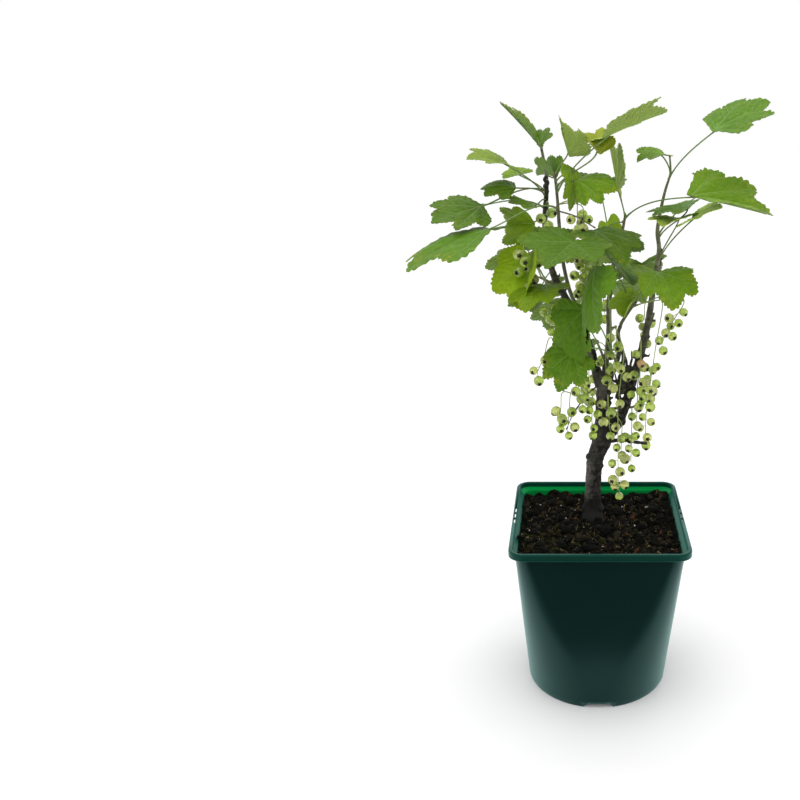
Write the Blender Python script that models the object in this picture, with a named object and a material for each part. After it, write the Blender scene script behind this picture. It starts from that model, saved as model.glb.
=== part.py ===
# White currant bush in a square-topped nursery pot.
# Metres, +Z up. The origin is the centre of the pot's flat underside, and the viewer stands at -Y.
# Pot and compost come first, then the trunk and its boughs, then the masses of leaves and fruit
# that grow on from them. Every piece keeps 0.3 mm of air to its neighbours.

import math
import random

import bmesh
import bpy
from mathutils import Matrix, Vector
from mathutils.bvhtree import BVHTree

MM = 0.001
GAP = 0.3 * MM

# Pot: square rim, round base
POT_HEIGHT = 175.0 * MM
RIM_HALF = 85.0 * MM
RIM_BAND = 7.0 * MM
RIM_LIP = 4.0 * MM
RIM_CORNER = 14.0 * MM
BODY_HALF = 79.2 * MM
BODY_CORNER = 12.0 * MM
BASE_RADIUS = 70.5 * MM
WALL = 1.5 * MM
CORNER_POINTS = 6
NEARLY_ROUND = 0.97

# Underside of the pot: flat disc, sunk drainage channel, foot ring with four notches
DISC_RADIUS = 36.0 * MM
CHANNEL_DEPTH = 5.0 * MM
CHANNEL_OUTER = 64.0 * MM
FOOT_INNER = 66.0 * MM
NOTCH_HEIGHT = 4.8 * MM
NOTCH_FOOT_WIDTH = 31.0 * MM
NOTCH_TOP_WIDTH = 22.0 * MM
DRAIN_HOLES = 8
DRAIN_RADIUS = 4.0 * MM
DRAIN_CIRCLE = 51.0 * MM

# Label slots through the middle of the left and right rims
SLOT_LENGTH = 10.0 * MM
SLOT_WIDTH = 1.8 * MM
SLOT_PITCH = 12.5 * MM
SLOTS_PER_SIDE = 3

# Compost
SOIL_TOP = 161.5 * MM
SOIL_LUMP = 2.6 * MM
SOIL_CORNER_EASE = 2.0 * MM

# Trunk foot, and the branch's general shape
TRUNK_FOOT = Vector((-5.5 * MM, 22.0 * MM, SOIL_TOP + GAP))
TRUNK_SIDES = 12
BOUGH_SIDES = 8
TWIG_SIDES = 5
STALK_SIDES = 3

# Leaf: three main lobes and two small basal ones, as a half outline of angle and reach
LEAF_OUTLINE = ((0, 1.0), (28, 0.74), (49, 0.90), (79, 0.60), (108, 0.64), (140, 0.40))
LEAF_NOTCH = 0.07
LEAF_THICKNESS = 0.8 * MM
PETIOLE_RADIUS = 0.85 * MM
PETIOLE_SUNK = 2.5 * MM

# Fruit
BERRY_RADIUS = 4.9 * MM
STRIG_RADIUS = 0.65 * MM
GOLDEN_TURN = math.radians(137.5)

BARK = (0.045, 0.036, 0.030)
LEAF_GREEN = (0.085, 0.24, 0.03)
FRUIT_GREEN = (0.42, 0.52, 0.13)
POT_GREEN = (0.004, 0.022, 0.016)
COMPOST = (0.022, 0.014, 0.009)


def clear_scene():
    for old in list(bpy.data.objects):
        bpy.data.objects.remove(old, do_unlink=True)


def plain_material(name, colour, roughness):
    material = bpy.data.materials.new(name)
    material.use_nodes = True
    shader = material.node_tree.nodes["Principled BSDF"]
    shader.inputs["Base Color"].default_value = (*colour, 1.0)
    shader.inputs["Roughness"].default_value = roughness
    material.diffuse_color = (*colour, 1.0)
    return material


def add_object(name, shape, material, smooth=True):
    mesh = bpy.data.meshes.new(name)
    bmesh.ops.recalc_face_normals(shape, faces=shape.faces)
    shape.to_mesh(mesh)
    shape.free()
    if smooth:
        mesh.shade_smooth()
        mesh.set_sharp_from_angle(angle=math.radians(35))
    mesh.materials.append(material)
    thing = bpy.data.objects.new(name, mesh)
    bpy.context.scene.collection.objects.link(thing)
    return thing


def hide_cutter(cutter):
    cutter.hide_render = True
    cutter.display_type = "WIRE"


def cut(thing, cutter):
    hide_cutter(cutter)
    step = thing.modifiers.new("cut_" + cutter.name, "BOOLEAN")
    step.operation = "DIFFERENCE"
    step.solver = "EXACT"
    step.object = cutter


# Pot and compost

def square_loop(shape, half, corner, height):
    """A closed loop of a square with rounded corners: a corner as large as the half width is round."""
    corner = min(corner, NEARLY_ROUND * half)
    verts = []
    for quarter in range(4):
        middle = math.radians(45 + 90 * quarter)
        centre = Vector((math.copysign(half - corner, math.cos(middle)),
                         math.copysign(half - corner, math.sin(middle)), height))
        for step in range(CORNER_POINTS):
            angle = middle + math.radians(90) * (step / (CORNER_POINTS - 1) - 0.5)
            verts.append(shape.verts.new(centre + corner * Vector((math.cos(angle), math.sin(angle), 0))))
    return verts


def join_loops(shape, loops):
    for lower, upper in zip(loops, loops[1:]):
        count = len(lower)
        for i in range(count):
            j = (i + 1) % count
            shape.faces.new((lower[i], lower[j], upper[j], upper[i]))


def body_size(height, inset):
    """Half width and corner radius of the pot's body at a height, moved in from the outside."""
    share = height / (POT_HEIGHT - RIM_BAND)
    half = BASE_RADIUS + (BODY_HALF - BASE_RADIUS) * share
    corner = BASE_RADIUS + (BODY_CORNER - BASE_RADIUS) * share
    return half - inset, max(corner - inset, 4 * MM)


def build_pot():
    shape = bmesh.new()
    rim_foot = POT_HEIGHT - RIM_BAND
    floor_top = CHANNEL_DEPTH + WALL
    loops = []

    def ring(half, corner, height):
        loops.append(square_loop(shape, half, corner, height))

    ring(DISC_RADIUS, DISC_RADIUS, 0)
    ring(DISC_RADIUS + 2 * MM, DISC_RADIUS + 2 * MM, CHANNEL_DEPTH)
    ring(CHANNEL_OUTER, CHANNEL_OUTER, CHANNEL_DEPTH)
    ring(FOOT_INNER, FOOT_INNER, 0)
    ring(BASE_RADIUS - 0.8 * MM, BASE_RADIUS, 0)
    for height in (1.5 * MM, 42 * MM, 84 * MM, 126 * MM, rim_foot):
        ring(*body_size(height, 0), height)
    ring(RIM_HALF - 0.4 * MM, RIM_CORNER, rim_foot)
    ring(RIM_HALF, RIM_CORNER, rim_foot + 1 * MM)
    ring(RIM_HALF, RIM_CORNER, POT_HEIGHT - 1.5 * MM)
    ring(RIM_HALF - 1.2 * MM, RIM_CORNER - 1 * MM, POT_HEIGHT)
    ring(RIM_HALF - RIM_LIP + 1 * MM, RIM_CORNER - 3 * MM, POT_HEIGHT)
    ring(RIM_HALF - RIM_LIP, RIM_CORNER - 4 * MM, POT_HEIGHT - 1.2 * MM)
    for height in (rim_foot - 1 * MM, 126 * MM, 84 * MM, 42 * MM, floor_top + 2 * MM):
        ring(*body_size(height, WALL), height)
    half, corner = body_size(floor_top, WALL + 1 * MM)
    ring(half, corner, floor_top)
    ring(DISC_RADIUS + 4 * MM, DISC_RADIUS + 4 * MM, floor_top)
    ring(DISC_RADIUS + 2 * MM, DISC_RADIUS + 2 * MM, WALL)
    join_loops(shape, loops)
    shape.faces.new(loops[0])
    shape.faces.new(loops[-1])
    pot = add_object("pot", shape, plain_material("pot_green", POT_GREEN, 0.35))
    for side in range(4):
        cut(pot, notch_cutter(side))
    for hole in range(DRAIN_HOLES):
        cut(pot, drain_cutter(hole))
    for side in (-1, 1):
        for slot in range(SLOTS_PER_SIDE):
            cut(pot, slot_cutter(side, slot))
    return pot


def notch_cutter(side):
    shape = bmesh.new()
    reach = (FOOT_INNER - 4 * MM, BASE_RADIUS + 6 * MM)
    low, high = -2 * MM, NOTCH_HEIGHT
    slope = (NOTCH_FOOT_WIDTH - NOTCH_TOP_WIDTH) / 2 / NOTCH_HEIGHT
    wide = NOTCH_FOOT_WIDTH / 2 - slope * low
    profile = ((-wide, low), (wide, low), (NOTCH_TOP_WIDTH / 2, high), (-NOTCH_TOP_WIDTH / 2, high))
    loops = [[shape.verts.new((x, -y, z)) for x, z in profile] for y in reach]
    join_loops(shape, loops)
    shape.faces.new(loops[0])
    shape.faces.new(loops[1])
    bmesh.ops.rotate(shape, verts=shape.verts, matrix=Matrix.Rotation(math.radians(90 * side), 3, "Z"))
    return add_object(f"notch_cutter_{side}", shape, plain_material("cutter", POT_GREEN, 0.5), smooth=False)


def drain_cutter(hole):
    shape = bmesh.new()
    bmesh.ops.create_cone(shape, cap_ends=True, segments=8, radius1=DRAIN_RADIUS, radius2=DRAIN_RADIUS,
                          depth=6 * MM)
    turn = math.tau * (hole + 0.5) / DRAIN_HOLES
    place = Vector((DRAIN_CIRCLE * math.cos(turn), DRAIN_CIRCLE * math.sin(turn), CHANNEL_DEPTH + 1 * MM))
    bmesh.ops.translate(shape, verts=shape.verts, vec=place)
    return add_object(f"drain_cutter_{hole}", shape, plain_material("cutter", POT_GREEN, 0.5), smooth=False)


def slot_cutter(side, slot):
    shape = bmesh.new()
    bmesh.ops.create_cube(shape, size=1.0)
    bmesh.ops.scale(shape, verts=shape.verts, vec=(SLOT_WIDTH, SLOT_LENGTH, 3 * RIM_BAND))
    along = (slot - (SLOTS_PER_SIDE - 1) / 2) * SLOT_PITCH
    place = Vector((side * (RIM_HALF - RIM_LIP / 2 - 0.2 * MM), along, POT_HEIGHT))
    bmesh.ops.translate(shape, verts=shape.verts, vec=place)
    name = f"slot_cutter_{'left' if side < 0 else 'right'}_{slot}"
    return add_object(name, shape, plain_material("cutter", POT_GREEN, 0.5), smooth=False)


def build_soil():
    """Compost that fills the pot, lumpy on top and flat where the trunk stands."""
    lumps = random.Random(11)
    shape = bmesh.new()
    floor_top = CHANNEL_DEPTH + WALL + GAP
    inset = WALL + GAP
    low_disc = DISC_RADIUS + 2 * MM - GAP
    loops = [square_loop(shape, low_disc - 1 * MM, low_disc, WALL + GAP),
             square_loop(shape, low_disc, low_disc, floor_top)]
    half, corner = body_size(floor_top, inset + 1.5 * MM)
    loops.append(square_loop(shape, half, corner, floor_top))
    for height in (floor_top + 3 * MM, 42 * MM, 84 * MM, 126 * MM):
        half, corner = body_size(height, inset + 0.2 * MM)
        loops.append(square_loop(shape, half, corner + SOIL_CORNER_EASE, height))
    edge_half, edge_corner = body_size(SOIL_TOP, inset + 0.2 * MM)
    edge_corner += SOIL_CORNER_EASE
    for share in (1.0, 0.84, 0.66, 0.48, 0.32, 0.19):
        loop = square_loop(shape, edge_half, edge_corner, SOIL_TOP)
        lump = SOIL_LUMP if share > 0.4 else 0.0
        for vert in loop:
            vert.co.x = TRUNK_FOOT.x + (vert.co.x - TRUNK_FOOT.x) * share
            vert.co.y = TRUNK_FOOT.y + (vert.co.y - TRUNK_FOOT.y) * share
            vert.co.z = SOIL_TOP + lump * lumps.uniform(-1.0, 0.8)
        loops.append(loop)
    join_loops(shape, loops)
    shape.faces.new(loops[0])
    shape.faces.new(loops[-1])
    bmesh.ops.triangulate(shape, faces=shape.faces)
    return add_object("soil", shape, plain_material("compost", COMPOST, 0.95), smooth=False)


# Limbs

def smooth_path(points, steps):
    """A Catmull-Rom curve through a few stations, each a point and a radius."""
    ends = [points[0]] + list(points) + [points[-1]]
    path = []
    for a, b, c, d in zip(ends, ends[1:], ends[2:], ends[3:]):
        for step in range(steps):
            t = step / steps
            path.append(tuple(
                0.5 * (2 * q + (r - p) * t + (2 * p - 5 * q + 4 * r - s) * t * t
                       + (3 * q - p - 3 * r + s) * t ** 3)
                for p, q, r, s in zip(a, b, c, d)))
    path.append(tuple(points[-1]))
    return [(Vector(p[:3]), p[3]) for p in path]


def growing_path(start, length, turns, radii, steps=8):
    """A limb that sets off at a point and turns as it grows: turns are (share, lean, azimuth)."""
    place = Vector(start)
    path = [(place.copy(), radii[0])]
    for step in range(steps):
        share = (step + 0.5) / steps
        for low, high in zip(turns, turns[1:]):
            if share <= high[0] or high is turns[-1]:
                blend = min(1.0, max(0.0, (share - low[0]) / (high[0] - low[0])))
                lean = math.radians(low[1] + (high[1] - low[1]) * blend)
                azimuth = math.radians(low[2] + (high[2] - low[2]) * blend)
                break
        heading = Vector((math.sin(lean) * math.cos(azimuth), math.sin(lean) * math.sin(azimuth),
                          math.cos(lean)))
        place = place + heading * (length / steps)
        path.append((place.copy(), radii[0] + (radii[1] - radii[0]) * (step + 1) / steps))
    return path


def tube(path, sides, extra=0.0, flat_foot=False):
    """A closed tube along a path of points and radii."""
    shape = bmesh.new()
    loops = []
    side_way = Vector((1, 0, 0))
    for index, (point, radius) in enumerate(path):
        before = path[max(index - 1, 0)][0]
        after = path[min(index + 1, len(path) - 1)][0]
        along = (after - before).normalized()
        if flat_foot and index == 0:
            along = Vector((0, 0, 1))
        side_way = (side_way - along * side_way.dot(along)).normalized()
        across = along.cross(side_way)
        loops.append([shape.verts.new(point + (radius + extra) * (
            side_way * math.cos(math.tau * i / sides) + across * math.sin(math.tau * i / sides)))
            for i in range(sides)])
    join_loops(shape, loops)
    shape.faces.new(loops[0])
    shape.faces.new(loops[-1])
    bmesh.ops.recalc_face_normals(shape, faces=shape.faces)
    return shape


def station(path, share):
    """The point, radius and direction of a path at a share of its length."""
    place = share * (len(path) - 1)
    low = min(int(place), len(path) - 2)
    (start, start_radius), (end, end_radius) = path[low], path[low + 1]
    radius = start_radius + (end_radius - start_radius) * (place - low)
    return start.lerp(end, place - low), radius, (end - start).normalized()


obstacles = []


def as_tree(shape):
    return BVHTree.FromBMesh(shape)


def is_clear(shape):
    tree = as_tree(shape)
    return not any(tree.overlap(other) for other in obstacles)


def build_limb(name, path, material, sides=BOUGH_SIDES, parents=(), flat_foot=False):
    """A bough as one tapering solid, its foot shaped to the limbs it grows from, 0.3 mm clear."""
    limb = add_object(name, tube(path, sides, flat_foot=flat_foot), material)
    for parent_name, parent_path, parent_sides in parents:
        clearance = GAP / math.cos(math.pi / parent_sides) + 0.05 * MM
        sleeve = add_object(f"sleeve_of_{parent_name}_for_{name}",
                            tube(parent_path, parent_sides, extra=clearance), material, smooth=False)
        cut(limb, sleeve)
    obstacles.append(as_tree(tube(path, sides)))
    return limb


def mm(*values):
    return tuple(value * MM for value in values)


def trunk_path():
    """Stations of the trunk: how far it stands from its foot sideways, back and up, and its radius."""
    stations = ((0, 0, 0, 12.0), (0.2, 0, 5, 9.6), (0.6, 0, 18, 8.5), (1.2, 0.5, 44, 7.9),
                (3.0, 0.5, 66, 8.2), (9.5, 1, 84, 9.4), (10.5, 2, 100, 8.6), (10.0, 3, 122, 7.2),
                (9.5, 4, 143, 6.2))
    foot = TRUNK_FOOT
    return smooth_path([(foot.x + x * MM, foot.y + y * MM, foot.z + z * MM, r * MM)
                        for x, y, z, r in stations], 2)


# Each bough: foot, length, turns as (share of its length, lean, azimuth), and its two radii
BOUGHS = {
    "bough_left": (mm(2.0, 24, 303), 168 * MM,
                   ((0, 12, 190), (0.35, 24, 185), (0.62, 31, 180), (0.78, 10, 180), (1, 5, 180)), (4.3, 2.7)),
    "bough_centre": (mm(6.5, 28, 302), 116 * MM,
                     ((0, -4, 0), (0.25, 8, 0), (0.55, -2, 0), (1, 9, 0)), (3.4, 2.3)),
    "bough_inner": (mm(7.5, 21, 292), 58 * MM, ((0, 12, 300), (0.5, 24, 320), (1, 8, 340)), (3.0, 2.2)),
    "bough_fore": (mm(-1.5, 14, 305), 172 * MM,
                   ((0, 16, 215), (0.3, 13, 200), (0.52, 24, 195), (0.7, 9, 190), (1, 3, 180)), (2.5, 1.6)),
    "bough_right": (mm(10.5, 24, 249), 178 * MM,
                    ((0, 40, 15), (0.22, 16, 20), (0.5, 15, 10), (0.75, 7, 0), (1, 8, 0)), (5.2, 2.5)),
    "bough_right_inner": (mm(21, 27, 281), 84 * MM, ((0, 4, 180), (0.4, 14, 0), (1, 22, 340)), (2.4, 1.8)),
}
BOUGH_PARENTS = {
    "bough_left": ("trunk",),
    "bough_centre": ("trunk", "bough_left"),
    "bough_inner": ("trunk", "bough_centre"),
    "bough_fore": ("trunk", "bough_left", "bough_inner"),
    "bough_right": ("trunk",),
    "bough_right_inner": ("bough_right",),
}
# Cut and dead pieces of old wood: foot, length, turns, radii and what each grows from
STUBS = {
    "stub_low": (mm(13, 20, 246), 40 * MM, ((0, 62, 330), (0.3, 86, 328), (1, 84, 326)), (1.9, 1.5),
                 ("trunk", "bough_right")),
    "stub_cut": (mm(41, 31, 339), 36 * MM, ((0, 26, 25), (1, 18, 20)), (1.5, 1.2),
                 ("bough_right",)),
    "twig_dead": (mm(-1, 18, 304), 56 * MM, ((0, 95, 230), (0.3, 130, 215), (1, 160, 200)), (0.9, 0.7),
                  ("trunk",)),
}


def build_woody_frame():
    """Trunk, boughs and stubs. Returns the path of each for the masses that grow on from it."""
    bark = plain_material("bark", BARK, 0.85)
    paths = {"trunk": trunk_path()}
    sides = {"trunk": TRUNK_SIDES}
    build_limb("trunk", paths["trunk"], bark, TRUNK_SIDES, flat_foot=True)
    for name, (foot, length, turns, radii) in BOUGHS.items():
        paths[name] = growing_path(foot, length, turns, mm(*radii), steps=10)
        sides[name] = BOUGH_SIDES
        parents = [(parent, paths[parent], sides[parent]) for parent in BOUGH_PARENTS[name]]
        build_limb(name, paths[name], bark, BOUGH_SIDES, parents)
    for name, (foot, length, turns, radii, grows_from) in STUBS.items():
        paths[name] = growing_path(foot, length, turns, mm(*radii), steps=4)
        parents = [(parent, paths[parent], sides[parent]) for parent in grows_from]
        build_limb(name, paths[name], bark, TWIG_SIDES, parents)
    return paths


# Leaves and fruit

def blade_axes(heading, pitch, roll):
    """Midrib, side and upper face of a blade: heading 0 is +X, and roll lifts the left half."""
    heading, pitch, roll = (math.radians(angle) for angle in (heading, pitch, roll))
    midrib = Vector((math.cos(pitch) * math.cos(heading), math.cos(pitch) * math.sin(heading),
                     math.sin(pitch)))
    side = Vector((-math.sin(heading), math.cos(heading), 0))
    upper = midrib.cross(side)
    return (midrib, side * math.cos(roll) + upper * math.sin(roll),
            upper * math.cos(roll) - side * math.sin(roll))


def bent_blade_point(u, v, size, fold, droop):
    """Folds a flat blade point up along its midrib and bends it down towards its tip."""
    lift = abs(v) * math.sin(fold)
    v = v * math.cos(fold)
    bend = size / max(droop, 0.01)
    return (bend + lift) * math.sin(u / bend), v, (bend + lift) * math.cos(u / bend) - bend


def leaf_outline(spread):
    """Outline of the blade as angle and reach. A spread under 1 draws the basal lobes forward."""
    right = [(-angle * spread, reach) for angle, reach in reversed(LEAF_OUTLINE)]
    left = [(angle * spread, reach) for angle, reach in LEAF_OUTLINE[1:]]
    return [(math.radians(angle), reach) for angle, reach in right + left + [(180, LEAF_NOTCH)]]


def blade(joint, attitude, size, fold, droop, spread, extra=0.0):
    """A closed lobed blade of an even thickness, with its petiole's joint at the notch."""
    midrib, side, upper = blade_axes(*attitude)
    fold, droop = math.radians(fold), math.radians(droop)
    half = LEAF_THICKNESS / 2 + extra
    shape = bmesh.new()

    def place(angle, reach, level):
        u, v, w = bent_blade_point(size * reach * math.cos(angle), size * reach * math.sin(angle),
                                   size, fold, droop)
        return shape.verts.new(joint + midrib * u + side * v + upper * (w + level))

    outline = leaf_outline(spread)
    edges = []
    for level in (half, -half):
        centre = place(0, 0.0, level)
        edge = [place(angle, reach, level) for angle, reach in outline]
        for a, b in zip(edge, edge[1:] + edge[:1]):
            shape.faces.new((centre, a, b))
        edges.append(edge)
    top, bottom = edges
    for i in range(len(outline)):
        j = (i + 1) % len(outline)
        shape.faces.new((top[i], top[j], bottom[j]))
        shape.faces.new((top[i], bottom[j], bottom[i]))
    bmesh.ops.recalc_face_normals(shape, faces=shape.faces)
    return shape


def petiole_path(start, joint, attitude):
    """The leaf stalk: it leaves the stem upwards, arches over and runs on under the blade."""
    midrib, _, upper = blade_axes(*attitude)
    joint = joint + midrib * PETIOLE_SUNK - upper * LEAF_THICKNESS * 0.3
    reach = (joint - start).length
    first = ((joint - start).normalized() + Vector((0, 0, 0.7))).normalized()
    points = (start, start + first * reach * 0.35,
              joint - (midrib * 0.8 + (joint - start).normalized()).normalized() * reach * 0.25, joint)
    path = []
    for step in range(5):
        t = step / 4
        weights = ((1 - t) ** 3, 3 * t * (1 - t) ** 2, 3 * t * t * (1 - t), t ** 3)
        path.append((sum((w * p for w, p in zip(weights, points)), Vector()), PETIOLE_RADIUS))
    return path


def berry(place, radius=BERRY_RADIUS):
    shape = bmesh.new()
    bmesh.ops.create_icosphere(shape, subdivisions=1, radius=radius, matrix=Matrix.Translation(place))
    return shape


def strig_path(start, knee, drop, drift):
    """A fruit stalk: out from the spur to its knee, then hanging down, a little off the vertical."""
    end = knee + Vector((drift[0], drift[1], -drop))
    return [(start, STRIG_RADIUS * 1.1), (start.lerp(knee, 0.55) + Vector((0, 0, 2.5 * MM)), STRIG_RADIUS),
            (knee, STRIG_RADIUS), (knee.lerp(end, 0.5), STRIG_RADIUS), (end, STRIG_RADIUS)]


class Mass:
    """One mass of foliage or fruit: pieces that grow from one stem and are fused into one solid."""

    def __init__(self, name, stem, seed):
        self.name = name
        self.stem = stem
        self.random = random.Random(seed)
        self.pieces = [tube(stem, TWIG_SIDES)]

    def accepts(self, shapes):
        return all(is_clear(shape) for shape in shapes)

    def leaf(self, at, joint, attitude, size, fold=10, droop=20, spread=0.95):
        """Adds a leaf on its stalk, unless it would touch a neighbour."""
        place = Vector(mm(*joint))
        stalk = petiole_path(station(self.stem, at)[0], place, attitude)
        form = (place, attitude, size * MM, fold, droop, spread)
        if self.accepts([blade(*form, extra=GAP), tube(stalk, STALK_SIDES, extra=GAP)]):
            self.pieces.append(blade(*form))
            self.pieces.append(tube(stalk, STALK_SIDES))

    def strig(self, at, knee, drop, berries, drift=(0, 0), first=0.25):
        """Adds a hanging stalk with berries set round it in a spiral."""
        start = station(self.stem, at)[0]
        path = strig_path(start, Vector(mm(*knee)), drop * MM, mm(*drift))
        if not self.accepts([tube(path[1:], STALK_SIDES, extra=GAP)]):
            return
        self.pieces.append(tube(path, STALK_SIDES))
        turn = self.random.uniform(0, math.tau)
        top, bottom = path[2][0], path[-1][0]
        for number in range(berries):
            share = first + (1 - first) * (number + 1) / berries if berries > 1 else 1.0
            anchor = top.lerp(bottom, min(share, 0.985))
            last = number == berries - 1
            out = Vector((math.cos(turn), math.sin(turn), -0.35)).normalized()
            if last:
                out = Vector((0, 0, -1))
            size = BERRY_RADIUS * self.random.uniform(0.86, 1.06)
            centre = anchor + out * size * 0.9
            if self.accepts([berry(centre, size + GAP)]):
                self.pieces.append(berry(centre, size))
            turn += GOLDEN_TURN

    def finish(self, material):
        """Fuses the pieces with one union and sets the solid down as one object."""
        obstacles.extend(as_tree(piece) for piece in self.pieces)
        group = bpy.data.collections.new(self.name + "_pieces")
        bpy.context.scene.collection.children.link(group)
        parts = []
        for number, piece in enumerate(self.pieces):
            part = add_object(f"{self.name}_piece_{number}", piece, material, smooth=False)
            bpy.context.scene.collection.objects.unlink(part)
            group.objects.link(part)
            parts.append(part)
        whole = parts[0]
        group.objects.unlink(whole)
        bpy.context.scene.collection.objects.link(whole)
        whole.name = self.name
        fuse = whole.modifiers.new("fuse", "BOOLEAN")
        fuse.operation = "UNION"
        fuse.operand_type = "COLLECTION"
        fuse.solver = "MANIFOLD"
        fuse.collection = group
        bpy.context.view_layer.update()
        mesh = bpy.data.meshes.new_from_object(whole.evaluated_get(bpy.context.evaluated_depsgraph_get()))
        whole.modifiers.clear()
        whole.data = mesh
        mesh.name = self.name
        for part in parts[1:]:
            bpy.data.objects.remove(part, do_unlink=True)
        bpy.data.collections.remove(group)
        return whole


def stem_on(path, length, turns, end_radius, steps=5):
    """A mass's own stem, which carries on from a bough's tip after 0.3 mm of air."""
    tip, radius = path[-1]
    along = (tip - path[-2][0]).normalized()
    start = tip + along * (GAP + 0.1 * MM)
    grown = growing_path(start + along * 2 * MM, length * MM, turns, (radius * 0.94, end_radius * MM), steps)
    return [(start, radius * 0.94)] + grown


def spur_on(path, share, lean, azimuth, length, radius=1.3, steps=2):
    """A short side shoot: it starts on the side of a bough, 0.3 mm clear of the bark."""
    centre, parent_radius, grain = station(path, share)
    lean, azimuth = math.radians(lean), math.radians(azimuth)
    heading = Vector((math.sin(lean) * math.cos(azimuth), math.sin(lean) * math.sin(azimuth), math.cos(lean)))
    outward = (heading - grain * heading.dot(grain)).normalized()
    rise = abs(heading.dot(grain))
    start = centre + outward * (parent_radius + GAP + 0.1 * MM + radius * MM * rise)
    degrees = (math.degrees(lean), math.degrees(azimuth))
    turns = ((0, *degrees), (1, *degrees))
    return growing_path(start, length * MM, turns, (radius * MM, radius * 0.8 * MM), steps)


def build_left_top(paths, green):
    stem = stem_on(paths["bough_left"], 64, ((0, 6, 0), (0.45, 3, 0), (0.65, -8, 0), (1, -12, 0)), 1.2)
    mass = Mass("foliage_left_top", stem, 21)
    mass.leaf(0.98, (-55, 12, 529), (-179, 50, -4), 53, 7, 4, 0.66)
    mass.leaf(1.0, (-55, 10, 530), (100, 25, 7), 26, 40, 3, 0.64)
    mass.leaf(0.43, (-84, 2, 514), (-144, 20, -16), 40, 6, 22, 0.73)
    mass.leaf(0.48, (-75, 30, 503), (108, 14, -12), 23, 0, 8, 0.78)
    mass.leaf(0.45, (-77, -12, 495), (-177, 19, -21), 32, -10, 48, 0.65)
    mass.leaf(0.40, (-59, -2, 477), (172, 19, -3), 29, 0, 3, 0.62)
    mass.leaf(0.50, (-107, -8, 478), (-146, -9, -22), 49, 0, 3, 0.62)
    mass.leaf(0.67, (-41, 8, 502), (123, 13, 0), 33, 59, 21, 0.62)
    mass.leaf(0.30, (-126, 48, 470), (150, -16, 6), 40, 8, 20)
    return mass.finish(green)


def build_fore_top(paths, green):
    stem = stem_on(paths["bough_fore"], 30, ((0, 3, 180), (1, 8, 180)), 1.2)
    mass = Mass("foliage_fore_top", stem, 22)
    mass.leaf(1.0, (-29, 0, 522), (-101, 50, -38), 38, 30, 4, 0.62)
    mass.leaf(0.70, (-3, -12, 524), (128, 34, -1), 31, 39, 4, 0.78)
    mass.leaf(0.58, (3, -20, 538), (25, 22, -20), 62, 11, 5, 0.72)
    mass.leaf(0.75, (-21, -18, 501), (-29, 11, 42), 37, -27, 50, 0.65)
    mass.leaf(0.85, (-27, -4, 510), (-64, -67, -42), 37, 0, 28, 0.69)
    mass.leaf(0.05, (-61, 4, 462), (139, -4, -94), 39, 44, 6, 0.83)
    mass.leaf(0.20, (-100, -42, 462), (162, -5, -8), 86, -12, 29, 0.70)
    mass.strig(0.3, (-17, -6, 478), 19, 3, (2, 0), 0.2)
    return mass.finish(green)


def build_centre_top(paths, green):
    stem = stem_on(paths["bough_centre"], 46, ((0, 10, 0), (0.6, 17, 0), (1, 6, 0)), 1.2)
    mass = Mass("foliage_centre_top", stem, 23)
    mass.leaf(1.0, (15, 18, 493), (105, 56, 79), 44, 13, 3, 0.81)
    mass.leaf(0.6, (-5, -10, 457), (-48, -10, 1), 48, 0, 44, 0.82)
    mass.leaf(0.9, (7, 26, 458), (-6, -65, 32), 27, 8, 5, 0.93)
    mass.leaf(0.97, (78, -16, 488), (-6, -11, 15), 72, 20, 3, 0.63)
    return mass.finish(green)


def build_right_top(paths, green):
    stem = stem_on(paths["bough_right"], 98, ((0, 9, 0), (0.4, 8, 340), (0.8, 16, 340), (1, 1, 0)), 0.8, 7)
    mass = Mass("foliage_right_top", stem, 24)
    mass.leaf(0.83, (100, 8, 543), (17, 26, 13), 61, 4, 3, 0.62)
    mass.leaf(0.89, (56, 22, 521), (-156, 8, -11), 27, 10, 40, 0.76)
    mass.leaf(0.32, (80, 6, 478), (158, -10, -6), 42, 0, 3, 0.76)
    mass.leaf(0.12, (73, 20, 464), (-119, 1, 7), 39, 14, 8, 0.66)
    mass.leaf(0.08, (82, 2, 466), (-54, 26, 23), 36, 9, 15, 0.78)
    mass.leaf(0.35, (112, 58, 492), (50, -22, 8), 46, 8, 24)
    return mass.finish(green)


def build_left_low(paths, green):
    stem = spur_on(paths["bough_left"], 0.66, 62, 215, 16, 1.5)
    mass = Mass("foliage_left_low", stem, 25)
    mass.leaf(0.8, (-61, -20, 430), (-104, -45, 32), 51, 37, 10, 1.01)
    mass.leaf(0.9, (-49, -38, 413), (-121, -4, 6), 42, 4, 44, 0.77)
    mass.strig(1.0, (-68, -35, 448), 29, 5, (3, 0), 0.0)
    return mass.finish(green)


def build_middle(paths, green):
    stem = spur_on(paths["bough_fore"], 0.80, 50, 290, 10, 1.2)
    mass = Mass("foliage_middle", stem, 26)
    mass.leaf(0.9, (-25, -44, 452), (-115, -11, -10), 54, 7, 5, 0.99)
    mass.strig(0.7, (-20, -10, 441), 46, 6, (4, 0), 0.1)
    return mass.finish(green)


def build_front(paths, green):
    stem = spur_on(paths["bough_inner"], 0.75, 60, 250, 14, 1.4)
    mass = Mass("foliage_front", stem, 27)
    mass.leaf(1.0, (-7, -58, 430), (-175, -62, -3), 74, -11, 46, 0.86)
    mass.leaf(0.8, (-26, -46, 356), (-112, -41, -13), 41, 0, 16, 0.62)
    mass.leaf(0.9, (-15, -38, 392), (-107, -64, 38), 53, 26, 15, 0.85)
    return mass.finish(green)


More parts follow.
